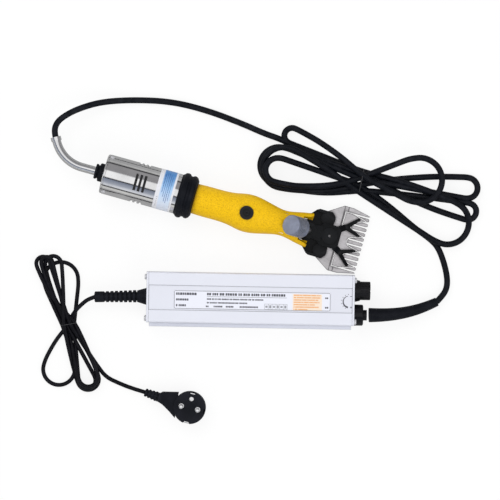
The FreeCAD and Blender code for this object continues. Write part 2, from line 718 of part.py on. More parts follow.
def mains_relief():
    """Ribbed rubber strain relief of the mains cord, drooping a little to its end."""
    root = Vector(-SUPPLY_LENGTH / 2 - 0.02, 2.0, OUTLET_Z)
    droop = Vector(-math.cos(math.radians(6.0)), -0.035, -math.sin(math.radians(6.0))).normalize()
    cone = Part.makeCone(9.8, 6.6, 11.0, root, Vector(-1, 0, 0))
    inside = rod(root, root + Vector(6, 0, 0), 6.4)
    start = root + Vector(-10.4, 0, 0)
    core = rod(start, start + droop * 48.0, 5.0)
    ribs = []
    for number in range(7):
        at = start + droop * (2.0 + 5.2 * number)
        ribs.append(rod(at, at + droop * 2.8, 7.0 - 0.12 * number))
    end = start + droop * 49.0
    block_end = rod(end - droop * 11.0, end, 6.2)
    block_end = rounded(block_end, 0.9, lambda c, e: e.Closed)
    return cone.fuse([inside, core, *ribs, block_end]).removeSplitter(), end, droop


# ---- cords --------------------------------------------------------------------------------
# Routes in the row's frame: x, y, z. Between the lists each cord lies in its hank.
MAIN_LEAD = [
    (-176.6, 115.8, 26.2),
    (-173.7, 124.8, 25.0),
    (-166.5, 131.7, 23.2),
    (-151.0, 140.5, 19.0),
    (-124.1, 149.1, 12.0),
    (-87.1, 151.7, 5.6),
    (-44.1, 149.8, 3.7),
    (-3.1, 139.5, 3.7),
    (36.9, 124.3, 3.7),
    (60.9, 113.5, 3.7),
    (81.4, 106.5, 3.7),
]
MAIN_TAIL = [
    (258.9, -15.1, 3.7),
    (265.8, -32.9, 3.6),
    (269.6, -49.5, 3.8),
    (269.5, -61.5, 4.6),
    (265.1, -70.5, 5.9),
]
MAINS_LEAD_END = [(-143.6, -78.7, 12.6), (-155.3, -90.7, 8.4)]
MAINS_TAIL = [
    (-124.7, -157.5, 2.6),
    (-119.5, -163.7, 2.5),
    (-104.1, -171.1, 2.6),
    (-87.9, -177.3, 4.4),
]
BOOT_ROUTE = [
    (179.9, -93.1, OUTLET_Z),
    (196.9, -92.9, 18.4),
    (212.9, -91.5, 16.0),
    (228.9, -88.5, 12.4),
    (243.9, -83.9, 8.9),
    (257.5, -78.2, 7.2),
]

# Outer outline of each figure-eight hank, round from its waist
MAIN_HANK = [
    (153.4, 39.9),
    (109.0, 45.1),
    (85.0, 48.5),
    (67.9, 55.9),
    (54.3, 67.3),
    (49.1, 77.6),
    (53.1, 89.0),
    (63.4, 98.7),
    (79.3, 103.9),
    (80.5, 118.6),
    (91.9, 123.2),
    (111.3, 115.8),
    (130.6, 103.2),
    (153.4, 86.7),
    (172.8, 76.4),
    (193.3, 80.4),
    (210.4, 87.8),
    (233.2, 90.1),
    (252.6, 87.3),
    (264.0, 78.7),
    (268.6, 67.9),
    (293.7, 65.6),
    (307.3, 54.2),
    (305.1, 45.6),
    (299.4, 38.8),
    (306.8, 27.4),
    (301.6, 16.0),
    (297.1, -1.1),
    (286.8, -14.2),
    (273.1, -18.8),
    (257.2, -18.2),
    (236.7, -10.2),
    (219.6, 0.6),
    (202.5, 15.4),
    (188.8, 28.5),
    (175.1, 37.1),
]
MAINS_HANK = [
    (-153.2, -90.0),
    (-149.2, -78.6),
    (-145.8, -64.9),
    (-147.0, -49.0),
    (-152.1, -36.4),
    (-162.3, -28.5),
    (-180.6, -23.3),
    (-190.8, -22.8),
    (-196.0, -35.3),
    (-194.3, -53.5),
    (-186.9, -79.8),
    (-173.7, -102.6),
    (-181.7, -111.1),
    (-190.8, -124.2),
    (-195.4, -139.0),
    (-194.3, -154.4),
    (-186.3, -169.8),
    (-173.7, -177.8),
    (-154.4, -171.6),
    (-144.1, -178.4),
    (-133.8, -181.8),
    (-127.0, -177.8),
    (-124.2, -167.5),
    (-124.2, -156.1),
    (-128.7, -143.6),
    (-136.1, -131.1),
    (-150.9, -110.0),
]


def output_boot():
    """Tapered rubber boot along the first stretch of the output cable."""
    points = [Vector(*point) for point in BOOT_ROUTE]
    wires = []
    for number, point in enumerate(points):
        before = points[max(number - 1, 0)]
        after = points[min(number + 1, len(points) - 1)]
        radius = 8.15 - 3.15 * number / (len(points) - 1)
        wires.append(Part.Wire(Part.Circle(point, after - before, radius).toShape()))
    return Part.makeLoft(wires, True, False)


# ---- plug ---------------------------------------------------------------------------------
PLUG_AT = Vector(-23.5, -198.3, 0)
PLUG_TURN = -13.0
PLUG_FACE_Z = 20.0
PLUG_R = 18.4


def plug():
    """Angled earthed plug that lies on its back, with its pins up."""
    nodes = {}
    neck = plate([(-16, 14.2), (-34, 10.4), (-37, 7.6), (-37, -1.2), (-31, -3.4), (-22, -9), (-14, -15)], 1.0, 19.0)
    body = upright(0, 0, 0.0, PLUG_FACE_Z, PLUG_R).fuse(neck).removeSplitter()
    grooves = [block(PLUG_R - 2.6, PLUG_R + 2, -2.6, 2.6, 6, PLUG_FACE_Z + 1)]
    clip_seats = []
    for side in (-1, 1):
        y0 = min(side * (PLUG_R - 2.4), side * (PLUG_R + 2))
        clip_seats.append(block(-3.4, 3.4, y0, y0 + 4.4, 5, PLUG_FACE_Z + 1))
    earth_hole = upright(0, 10.0, 4, PLUG_FACE_Z + 1, 2.6)
    pin_holes = [upright(side * PIN_SPACING / 2, 0, 10, PLUG_FACE_Z + 1, PIN_ROOT_D / 2) for side in (-1, 1)]
    nodes["plug_body"] = body.cut([*grooves, *clip_seats, earth_hole, *pin_holes])
    pins = []
    for side in (-1, 1):
        pin = upright(side * PIN_SPACING / 2, 0, 10.0, PLUG_FACE_Z + PIN_LENGTH, PIN_D / 2)
        pin = rounded(pin, 1.4, lambda c, e: e.Closed and c.z > PLUG_FACE_Z + 10)
        root = upright(side * PIN_SPACING / 2, 0, 10.0, PLUG_FACE_Z + PIN_ROOT_STEP, PIN_ROOT_D / 2)
        pins.append(pin.fuse(root).removeSplitter())
    nodes["plug_pins"] = group(pins)
    clips = []
    for side in (-1, 1):
        y = side * (PLUG_R - 1.9)
        clips.append(block(-2.6, 2.6, y - 0.5, y + 0.5, 5.0, PLUG_FACE_Z + 0.4))
    nodes["plug_earth_clips"] = group(clips)
    nodes["plug_earth_socket"] = upright(0, 10.0, 4, 15, 2.58).cut(upright(0, 10.0, 5, 16, 2.3))
    start = Vector(-36.6, 3.4, 9.4)
    along = Vector(-1.0, 0.12, -0.03).normalize()
    core = Part.makeCone(5.4, 3.6, 17.0, start, along)
    ribs = [rod(start + along * (2.5 + 4 * i), start + along * (4.6 + 4 * i), 5.6 - 0.3 * i) for i in range(4)]
    nodes["plug_relief"] = core.fuse(ribs).removeSplitter().cut(nodes["plug_body"])
    return nodes, start + along * 17.0, along


def to_row(point, at, turn):
    """A point of a sub-assembly's frame in the row's frame."""
    angle = math.radians(turn)
    x = point.x * math.cos(angle) - point.y * math.sin(angle)
    y = point.x * math.sin(angle) + point.y * math.cos(angle)
    return Vector(x + at.x, y + at.y, point.z + at.z)


def handpiece_nodes():
    """Every node of the handpiece, in its own frame."""
    nodes = {
        "motor_shell": motor_shell(),
        "motor_rear_cap": motor_rear_cap(),
        "case_screws": group([pan_head(at, along, 2.2, 1.1, 1.0, 4.5) for at, along in case_screw_places()]),
        "motor_label": tube(62.2, 82.8, SHELL_R + 0.15, SHELL_R),
        "rear_gland": rear_gland(),
        "cable_tube": cable_tube(),
        "tube_ferrule": tube_ferrule(),
        "collar_ring": turned(
            [
                (87.1, 17.25),
                (87.1, 22.6),
                (88.6, 23.6),
                (90.4, 25.4),
                (92.8, 26.0),
                (95.2, 25.4),
                (96.8, 23.6),
                (98.4, 23.5),
                (100.2, 24.6),
                (102.4, 24.6),
                (104.6, 23.2),
                (106.5, 20.0),
                (106.5, 17.25),
            ]
        ),
        "handle_shell": handle_shell(),
        "oil_plug": oil_plug(),
        "head_casting": head_casting(),
        "pivot_post": pivot_post(),
        "comb": comb(),
        "comb_screws": comb_screws(),
        "fork_body": fork_body(),
        "left_foot": foot(1),
        "right_foot": foot(-1),
        "cutter": cutter(),
        "tension_nut": tension_nut(),
    }
    nodes["handle_shell"] = nodes["handle_shell"].cut(nodes["head_casting"])
    for name in ("left_foot", "right_foot"):
        nodes[name] = nodes[name].cut(nodes["fork_body"])
    return nodes | motor_inside() | rotor() | handle_inside()


def supply_nodes():
    """Every node of the power supply, in its own frame, with where the mains cord leaves it."""
    label = block(
        LABEL_AT[0] - LABEL_HALF[0],
        LABEL_AT[0] + LABEL_HALF[0],
        LABEL_AT[1] - LABEL_HALF[1],
        LABEL_AT[1] + LABEL_HALF[1],
        SUPPLY_HEIGHT - 0.5,
        SUPPLY_HEIGHT - 0.35,
    )
    relief, end, along = mains_relief()
    nodes = {
        "supply_case": supply_case(),
        "left_end_plate": end_plate(-1),
        "right_end_plate": end_plate(1),
        "end_screws": end_screws(),
        "supply_label": label,
        "speed_knob": speed_knob(),
        "output_gland": output_gland(),
        "mains_relief": relief,
    }
    return nodes | supply_inside(), end, along


def cord_nodes(tube_end, tube_out, relief_end, relief_out, plug_end):
    """The cords' tubes and hanks, each tube starting on the face that it leaves."""
    main_start = tube_end + tube_out * 0.6
    main_lead = [tuple(main_start), *MAIN_LEAD]
    main_tail = [*MAIN_TAIL, BOOT_ROUTE[-1]]
    mains_lead = [tuple(relief_end), tuple(relief_end + relief_out * 7.5), *MAINS_LEAD_END]
    mains_tail = [*MAINS_TAIL, tuple(plug_end)]
    print("main exit", main_start, "mains exit", relief_end, "plug relief end", plug_end)
    return {
        "main_cord_lead": cord_tube("main_cord_lead", main_lead, CABLE_D),
        "main_cord_hank": plate(MAIN_HANK, 0.05, MAIN_HANK_HEIGHT),
        "main_cord_tail": cord_tube("main_cord_tail", main_tail, CABLE_D),
        "mains_cord_lead": cord_tube("mains_cord_lead", mains_lead, MAINS_D),
        "mains_cord_hank": plate(MAINS_HANK, 0.05, MAINS_HANK_HEIGHT),
        "mains_cord_tail": cord_tube("mains_cord_tail", mains_tail, MAINS_D),
    }


def main():
    """Builds every node and writes it."""
    os.makedirs("parts", exist_ok=True)
    nodes = {}
    for name, shape in handpiece_nodes().items():
        nodes[name] = placed(shape, HANDPIECE_AT, HANDPIECE_TURN)
    supply, relief_end, relief_out = supply_nodes()
    for name, shape in supply.items():
        nodes[name] = placed(shape, SUPPLY_AT, SUPPLY_TURN)
    plug_parts, plug_end, _ = plug()
    for name, shape in plug_parts.items():
        nodes[name] = placed(shape, PLUG_AT, PLUG_TURN)
    nodes["output_boot"] = output_boot()
    _, _, tube_end, tube_out = cable_tube_path()
    nodes |= cord_nodes(
        to_row(tube_end, HANDPIECE_AT, HANDPIECE_TURN),
        to_row(tube_out, Vector(0, 0, 0), HANDPIECE_TURN),
        to_row(relief_end, SUPPLY_AT, SUPPLY_TURN),
        to_row(relief_out, Vector(0, 0, 0), SUPPLY_TURN),
        to_row(plug_end, PLUG_AT, PLUG_TURN),
    )
    for name, shape in nodes.items():
        save(name, shape)


main()
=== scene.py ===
"""Looks of the shearing machine: its cords, finishes, printing, ties, and the studio that it lies in."""

import logging
import math
import random
from dataclasses import dataclass
from enum import Enum

import bmesh
import bpy
from mathutils import Matrix, Vector

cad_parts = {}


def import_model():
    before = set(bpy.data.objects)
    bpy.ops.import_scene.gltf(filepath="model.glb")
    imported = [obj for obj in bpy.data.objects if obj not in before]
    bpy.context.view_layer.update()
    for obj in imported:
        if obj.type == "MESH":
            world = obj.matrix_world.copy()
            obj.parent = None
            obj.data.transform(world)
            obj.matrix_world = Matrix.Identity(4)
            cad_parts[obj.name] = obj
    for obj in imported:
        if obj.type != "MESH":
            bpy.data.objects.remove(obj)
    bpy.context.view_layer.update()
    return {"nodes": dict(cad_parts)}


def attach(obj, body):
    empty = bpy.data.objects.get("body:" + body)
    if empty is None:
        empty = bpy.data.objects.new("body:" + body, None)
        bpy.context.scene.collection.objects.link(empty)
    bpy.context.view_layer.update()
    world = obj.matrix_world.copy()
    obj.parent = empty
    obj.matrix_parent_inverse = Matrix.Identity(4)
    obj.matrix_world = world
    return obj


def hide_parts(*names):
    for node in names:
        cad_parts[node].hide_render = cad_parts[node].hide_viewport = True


LOG = logging.getLogger("shears")

Colour = tuple[float, float, float]
Point = tuple[float, float, float]
Spot = tuple[float, float]
Socket = bpy.types.NodeSocket
Mesh = bmesh.types.BMesh


class Slot(Enum):
    """The record's material slots."""

    POLISHED = "polished_steel"
    SCREW = "screw_steel"
    GROUND = "ground_steel"
    DARK_STEEL = "dark_steel"
    NUT = "nut_silver"
    CASTING = "black_casting"
    YELLOW = "yellow_paint"
    RUBBER = "black_rubber"
    PLASTIC = "black_plastic"
    CABLE = "cable_black"
    MAINS = "mains_black"
    MOTOR_LABEL = "label_blue"
    SUPPLY_LABEL = "label_white"
    PALE_ALUMINIUM = "white_aluminium"
    ALUMINIUM = "plain_aluminium"
    COPPER = "copper"
    CARBON = "carbon"
    BOARD = "board_green"


MM = 0.001
AXIS_MM = 26.2
FILM_RADIUS_MM = 22.97
FLAT_INK_MM = 0.06
ROUND_INK_MM = 0.05
TIP_STEPS = 3
WIRE_SIDES = 8
RING_STEPS = 40
STILL_BODY = "machine"


@dataclass(frozen=True)
class Seat:
    """Where a sub-assembly lies.

    Attributes:
        x_mm: Its origin along X.
        y_mm: Its origin along Y.
        turn_deg: Its turn about the vertical.
    """

    x_mm: float
    y_mm: float
    turn_deg: float

    def point(self, x_mm: float, y_mm: float, z_mm: float) -> Vector:
        """Takes a point of the sub-assembly into the shared frame.

        Args:
            x_mm: Along the sub-assembly's own X.
            y_mm: Along its own Y.
            z_mm: Height.

        Returns:
            The point in metres.
        """
        turn = math.radians(self.turn_deg)
        x = x_mm * math.cos(turn) - y_mm * math.sin(turn) + self.x_mm
        y = x_mm * math.sin(turn) + y_mm * math.cos(turn) + self.y_mm
        return Vector((x, y, z_mm)) * MM

    def outward(self, y: float, z: float) -> Vector:
        """The direction in the shared frame of a direction across the sub-assembly's own X."""
        return (self.point(0, y, z) - self.point(0, 0, 0)).normalized()


HANDPIECE = Seat(-120.1, 67.4, -15.5)
SUPPLY = Seat(45.6, -76.0, -1.05)


def shade(colour: Colour, factor: float) -> Colour:
    """The colour made darker or brighter, but not past full."""
    return tuple(min(1.0, part * factor) for part in colour)


# ---- node graphs --------------------------------------------------------------------------
class Tree:
    """A node tree, with short calls for the nodes in use here."""

    def __init__(self, owner: bpy.types.Material | bpy.types.World) -> None:
        """Starts on its owner's nodes.

        Args:
            owner: The material or the world.
        """
        owner.use_nodes = True
        self.nodes = owner.node_tree.nodes
        self.links = owner.node_tree.links

    def node(self, kind: str, inputs: dict, output: str | int = 0, **settings: object) -> Socket | None:
        """Adds a node.

        Args:
            kind: Blender's name of the node, after "ShaderNode".
            inputs: A socket or a plain value for each input in use, by its name or number.
            output: Which output is wanted.
            settings: The node's own settings.

        Returns:
            That output's socket, if the node has outputs.
        """
        node = self.nodes.new("ShaderNode" + kind)
        for name, value in settings.items():
            setattr(node, name, value)
        for key, value in inputs.items():
            if isinstance(value, bpy.types.NodeSocket):
                self.links.new(value, node.inputs[key])
            elif node.inputs[key].type == "RGBA":
                node.inputs[key].default_value = (*value, 1.0)
            else:
                node.inputs[key].default_value = value
        return node.outputs[output] if len(node.outputs) else None

    def math(self, kind: str, a: object, b: object = 0.0) -> Socket:
        """One arithmetic step between sockets or numbers."""
        return self.node("Math", {0: a, 1: b}, operation=kind)

    def axis(self, vector: Socket, name: str) -> Socket:
        """One of a vector's X, Y and Z."""
        return self.node("SeparateXYZ", {0: vector}, name)

    def span(self, value: Socket, low: float, high: float, a: float, b: float) -> Socket:
        """Takes low..high to a..b, held at its ends."""
        ends = {"From Min": low, "From Max": high, "To Min": a, "To Max": b}
        return self.node("MapRange", {"Value": value, **ends})

    def mix(self, factor: Socket, a: Colour | Socket, b: Colour | Socket) -> Socket:
        """Mixes two colours: factor 0 gives a, and 1 gives b."""
        return self.node("Mix", {0: factor, 6: a, 7: b}, 2, data_type="RGBA")

    def ramp(self, value: Socket, stops: list[tuple[float, Colour]]) -> Socket:
        """A colour for each value.

        Args:
            value: What to read.
            stops: Place and colour of each stop, in order.

        Returns:
            The colour's socket.
        """
        colour = self.node("ValToRGB", {"Fac": value}, "Color")
        elements = colour.node.color_ramp.elements
        while len(elements) < len(stops):
            elements.new(0.5)
        for element, (place, tone) in zip(elements, stops):
            element.position = place
            element.color = (*tone, 1.0)
        return colour


class Graph(Tree):
    """The node graph of one material, with its Principled shader."""

    def __init__(self, name: str) -> None:
        """Starts an empty material.

        Args:
            name: Its name.
        """
        self.material = bpy.data.materials.new(name)
        super().__init__(self.material)
        self.shader = next(n for n in self.nodes if n.type == "BSDF_PRINCIPLED")
        self.place = self.node("TexCoord", {}, "Object")

    def constant(self, **values: object) -> None:
        """Sets plain values on the shader's own sockets, named with underscores for spaces."""
        for name, value in values.items():
            self.shader.inputs[name.replace("_", " ")].default_value = value

    def look(self, colour: Socket, rough: Socket) -> None:
        """Drives the shader's colour and roughness."""
        self.links.new(colour, self.shader.inputs["Base Color"])
        self.links.new(rough, self.shader.inputs["Roughness"])

    def local(self, seat: Seat, height_mm: float = 0.0) -> Socket:
        """Coordinates in metres along a sub-assembly's own axes.

        Args:
            seat: Where the sub-assembly lies.
            height_mm: Height of the wanted origin.

        Returns:
            The vector's socket.
        """
        turn = math.radians(-seat.turn_deg)
        origin = Matrix.Rotation(turn, 3, "Z") @ (-seat.point(0, 0, height_mm))
        return self.node("Mapping", {"Vector": self.place, "Location": origin, "Rotation": (0, 0, turn)})

    def stretch(self, vector: Socket, scale: Point) -> Socket:
        """Scales coordinates along each axis."""
        return self.node("Mapping", {"Vector": vector, "Scale": scale})

    def noise(
        self, scale: float, detail: float = 3.0, rough: float = 0.5, vector: Socket | None = None
    ) -> Socket:
        """Cloudy noise, with scale features to the metre and detail octaves."""
        inputs = {"Scale": scale, "Detail": detail, "Roughness": rough}
        return self.node("TexNoise", {**inputs, "Vector": vector or self.place}, "Fac")

    def cells(self, scale: float) -> Socket:
        """Distance to scattered grains, that many to the metre."""
        return self.node("TexVoronoi", {"Scale": scale, "Vector": self.place}, "Distance")

    def edges(self, low: float = 0.52, high: float = 0.60) -> Socket:
        """1 on worn outer edges and 0 elsewhere, between two values of pointiness."""
        return self.span(self.node("NewGeometry", {}, "Pointiness"), low, high, 0.0, 1.0)

    def bevel(self, radius_mm: float, samples: int) -> Socket:
        """The surface's direction as if its edges were rounded to that radius."""
        return self.node("Bevel", {"Radius": radius_mm * MM}, samples=samples)

    def rim(self, radius_mm: float) -> Socket:
        """Follows sharp edges. The finishes use it to paint shade and highlights along edges.

        Args:
            radius_mm: How far from the edge it reaches.

        Returns:
            The value's socket: 0 on flats, rising to 1 at an edge.
        """
        inputs = {0: self.bevel(radius_mm, 8), 1: self.node("NewGeometry", {}, "Normal")}
        cosine = self.node("VectorMath", inputs, "Value", operation="DOT_PRODUCT")
        return self.span(cosine, 0.995, 0.78, 0.0, 1.0)

    def hollows(self, reach_mm: float) -> Socket:
        """1 deep in hollows and under overhangs, and 0 on open faces, read from ambient occlusion; the
        finishes use it to paint shade.
        """
        open_share = self.node("AmbientOcclusion", {"Distance": reach_mm * MM}, "AO", samples=6)
        return self.span(open_share, 0.95, 0.35, 0.0, 1.0)

    def relief(self, height: Socket, depth_mm: float, strength: float, bevel_mm: float = 0.0) -> None:
        """Bumps the surface.

        Args:
            height: What to read as height, 0 to 1.
            depth_mm: How deep a step from 0 to 1 is.
            strength: Share of the effect.
            bevel_mm: Radius that sharp edges are softened to.
        """
        inputs = {"Strength": strength, "Distance": depth_mm * MM, "Height": height}
        if bevel_mm:
            inputs["Normal"] = self.bevel(bevel_mm, 4)
        self.links.new(self.node("Bump", inputs), self.shader.inputs["Normal"])


# ---- finishes -----------------------------------------------------------------------------
class Finish:
    """A finish that can be made into a material."""

    def make(self, name: str) -> bpy.types.Material:
        """Builds the material.

        Args:
            name: Its name.

        Returns:
            The material.
        """
        graph = Graph(name)
        self.paint(graph)
        return graph.material

    def paint(self, g: Graph) -> None:
        """Fills the material's graph, each kind of finish in its own way."""
        raise NotImplementedError


@dataclass(frozen=True)
class MirrorSteel(Finish):
    """Polished steel with faint lengthwise buffing and smudges.

    Attributes:
        colour: Reflected colour.
        rough: Roughness where it is cleanest.
    """

    colour: Colour = (0.83, 0.83, 0.84)
    rough: float = 0.05

    def paint(self, g: Graph) -> None:
        """Fills the material's graph.

        Args:
            g: The graph.
        """
        g.constant(Metallic=1.0)
        buffing = g.noise(6.0, 3.0, 0.6, g.stretch(g.local(HANDPIECE, AXIS_MM), (6.0, 260.0, 260.0)))
        smudge = g.noise(45.0, 4.0, 0.6)
        g.look(
            g.mix(g.span(smudge, 0.35, 0.75, 0.0, 1.0), self.colour, shade(self.colour, 0.82)),
            g.span(g.math("ADD", buffing, smudge), 0.7, 1.4, self.rough, self.rough + 0.12),
        )
        g.relief(buffing, 0.01, 0.25, 0.25)


@dataclass(frozen=True)
class SatinMetal(Finish):
    """Metal with a fine directional grain, brighter rubbed edges, and, where asked, painted shade along sharp
    edges and in hollows.

    Attributes:
        colour: Main colour.
        rough: Mean roughness.
        grain: How fine the grain is along each of the seat's axes.
        seat: The sub-assembly that the grain follows.
        bevel_mm: Radius of softened edges.
        metal: Metallic share.
        painted_edge_shade: How much darker its sharp edges and hollows are made by painted shade.
    """

    colour: Colour
    rough: float
    grain: Point = (8.0, 300.0, 300.0)
    seat: Seat = HANDPIECE
    bevel_mm: float = 0.2
    metal: float = 1.0
    painted_edge_shade: float = 0.0

    def paint(self, g: Graph) -> None:
        """Fills the material's graph.

        Args:
            g: The graph.
        """
        g.constant(Metallic=self.metal)
        lines = g.noise(9.0, 4.0, 0.65, g.stretch(g.local(self.seat), self.grain))
        cloud = g.noise(60.0, 3.0, 0.5)
        body = g.mix(g.span(lines, 0.3, 0.7, 0.0, 1.0), shade(self.colour, 0.86), self.colour)
        body = g.mix(g.edges(), body, shade(self.colour, 1.18))
        # Painted shade: a dark line along sharp edges and in hollows.
        if self.painted_edge_shade:
            line = g.math("MULTIPLY", g.math("MAXIMUM", g.rim(0.7), g.hollows(2.0)), self.painted_edge_shade)
            body = g.mix(line, body, shade(self.colour, 0.22))
        g.look(body, g.span(g.math("ADD", lines, cloud), 0.6, 1.4, self.rough - 0.06, self.rough + 0.08))
        g.relief(lines, 0.012, 0.35, self.bevel_mm)


@dataclass(frozen=True)
class KnurledSilver(Finish):
    """Dull silver with a painted highlight along its edges and painted shade in its grooves.

    Attributes:
        colour: Main colour.
        bright: Colour of the painted highlight along its edges.
        groove_shade: Colour of the painted shade down in its grooves.
    """

    colour: Colour = (0.36, 0.39, 0.50)
    bright: Colour = (0.92, 0.93, 1.0)
    groove_shade: Colour = (0.05, 0.055, 0.08)

    def paint(self, g: Graph) -> None:
        """Fills the material's graph.

        Args:
            g: The graph.
        """
        g.constant(Metallic=0.75)
        cloud = g.noise(160.0, 4.0, 0.6)
        body = g.mix(g.span(cloud, 0.35, 0.7, 0.0, 1.0), self.colour, shade(self.colour, 0.8))
        # Painted shade: darkens the grooves, read from ambient occlusion.
        body = g.mix(g.math("MULTIPLY", g.hollows(1.6), 0.8), body, self.groove_shade)
        # Painted highlight: bright patches along sharp edges.
        glint = g.math("MULTIPLY", g.rim(0.45), g.span(g.noise(90.0, 2.0), 0.42, 0.6, 0.25, 1.0))
        g.look(g.mix(glint, body, self.bright), g.span(cloud, 0.3, 0.7, 0.3, 0.42))
        g.relief(cloud, 0.02, 0.3, 0.2)


@dataclass(frozen=True)
class BladeSteel(Finish):
    """Ground cutting steel: long grinding lines, with painted shade along its edges and in its hollows.

    Attributes:
        colour: Main colour.
        line: Colour of the painted shade along its edges and in its hollows.
        rough: Mean roughness.
        rim_mm: How far its painted edge shade and highlight reach in from the edge.
        painted_edge_highlight: Whether it has a painted white highlight on its outermost edge, outside a
            painted dark line.
    """

    colour: Colour = (0.66, 0.64, 0.66)
    line: Colour = (0.05, 0.045, 0.05)
    rough: float = 0.3
    rim_mm: float = 1.7
    painted_edge_highlight: bool = False

    def paint(self, g: Graph) -> None:
        """Fills the material's graph.

        Args:
            g: The graph.
        """
        g.constant(Metallic=1.0)
        lines = g.noise(9.0, 5.0, 0.7, g.stretch(g.local(HANDPIECE), (14.0, 260.0, 260.0)))
        patch = g.noise(90.0, 3.0, 0.6)
        worn = g.span(g.math("MULTIPLY", lines, patch), 0.14, 0.36, 0.0, 1.0)
        body = g.mix(worn, shade(self.colour, 0.62), self.colour)
        rim = g.rim(self.rim_mm)
        # Painted shade: darkens the hollows and the gaps beside other parts, read from ambient occlusion.
        body = g.mix(g.math("MULTIPLY", g.hollows(3.0), 0.9), body, self.line)
        # Painted shade as a dark line in from the edge, and a painted white highlight on the outermost edge.
        if self.painted_edge_highlight:
            body = g.mix(g.span(rim, 0.0, 0.04, 0.0, 1.0), body, self.line)
            body = g.mix(g.span(rim, 0.26, 0.36, 0.0, 1.0), body, (1.0, 1.0, 1.0))
        else:
            # Painted shade: darkens the band along sharp edges.
            body = g.mix(g.math("MULTIPLY", g.span(rim, 0.06, 0.3, 0.0, 1.0), 0.72), body, self.line)
        g.look(body, g.span(g.math("ADD", lines, patch), 0.6, 1.4, self.rough - 0.06, self.rough + 0.08))
        g.relief(lines, 0.02, 0.4, 0.3)


@dataclass(frozen=True)
class SandyPaint(Finish):
    """Textured paint: fine sand grain, slight mottling, and painted shade in hollows.

    Attributes:
        colour: Paint colour.
        deep: Colour between the grains.
        hollow_shade: Colour of the painted shade in hollows.
        rough: Roughness.
        grains: Grains to the metre.
    """

    colour: Colour
    deep: Colour
    hollow_shade: Colour = (0.16, 0.07, 0.002)
    rough: float = 0.42
    grains: float = 900.0

    def paint(self, g: Graph) -> None:
        """Fills the material's graph.

        Args:
            g: The graph.
        """
        grain = g.cells(self.grains)
        mottle = g.noise(130.0, 4.0, 0.6)
        fine = g.noise(1400.0, 2.0, 0.6)
        speck = g.span(g.math("ADD", grain, g.math("MULTIPLY", fine, 0.5)), 0.55, 1.1, 0.0, 0.6)
        body = g.mix(speck, self.colour, self.deep)
        body = g.mix(g.span(mottle, 0.5, 0.85, 0.0, 0.25), body, self.deep)
        # Painted shade: darkens hollows and the gaps beside other parts, read from ambient occlusion.
        body = g.mix(g.math("MULTIPLY", g.hollows(6.0), 0.8), body, self.hollow_shade)
        g.look(body, g.span(mottle, 0.3, 0.7, self.rough - 0.06, self.rough + 0.1))
        g.constant(Specular_IOR_Level=0.14)
        g.relief(grain, 0.18, 0.45, 0.4)


@dataclass(frozen=True)
class BlackMoulding(Finish):
    """Black rubber, plastic or enamel, with a fine skin, dust in places and paler edges.

    Attributes:
        colour: Body colour.
        worn: Colour on edges.
        rough: Roughness.
        specular: Specular level.
        coat: Weight of a gloss coat.
        skin: Skin features to the metre.
        depth_mm: Depth of the skin.
        bevel_mm: Radius of softened edges.
    """

    colour: Colour
    worn: Colour
    rough: float
    specular: float
    coat: float = 0.0
    skin: float = 1500.0
    depth_mm: float = 0.03
    bevel_mm: float = 0.3

    def paint(self, g: Graph) -> None:
        """Fills the material's graph.

        Args:
            g: The graph.
        """
        dust = g.noise(70.0, 4.0, 0.6)
        body = g.mix(g.span(dust, 0.4, 0.75, 0.0, 0.6), self.colour, self.worn)
        body = g.mix(g.edges(0.53, 0.66), body, self.worn)
        g.look(body, g.span(dust, 0.3, 0.7, self.rough - 0.07, self.rough + 0.08))
        g.constant(Specular_IOR_Level=self.specular, Coat_Weight=self.coat, Coat_Roughness=0.12)
        g.relief(g.noise(self.skin, 3.0, 0.6), self.depth_mm, 0.5, self.bevel_mm)


@dataclass(frozen=True)
class CableSheath(Finish):
    """Extruded rubber sheath: faint marks from its winding, a little dust, low sheen.

    Attributes:
        colour: Body colour.
        dusty: Colour where dust lies.
        rough: Roughness.
    """

    colour: Colour
    dusty: Colour
    rough: float

    def paint(self, g: Graph) -> None:
        """Fills the material's graph.

        Args:
            g: The graph.
        """
        marks = g.noise(160.0, 2.0, 0.5)
        amount = g.span(g.math("MULTIPLY", g.noise(28.0, 5.0, 0.65), marks), 0.18, 0.42, 0.0, 1.0)
        g.look(
            g.mix(amount, self.colour, self.dusty),
            g.span(marks, 0.3, 0.7, self.rough - 0.05, self.rough + 0.1),
        )
        g.constant(Specular_IOR_Level=0.15)
        g.relief(g.noise(900.0, 3.0, 0.6), 0.05, 0.4)


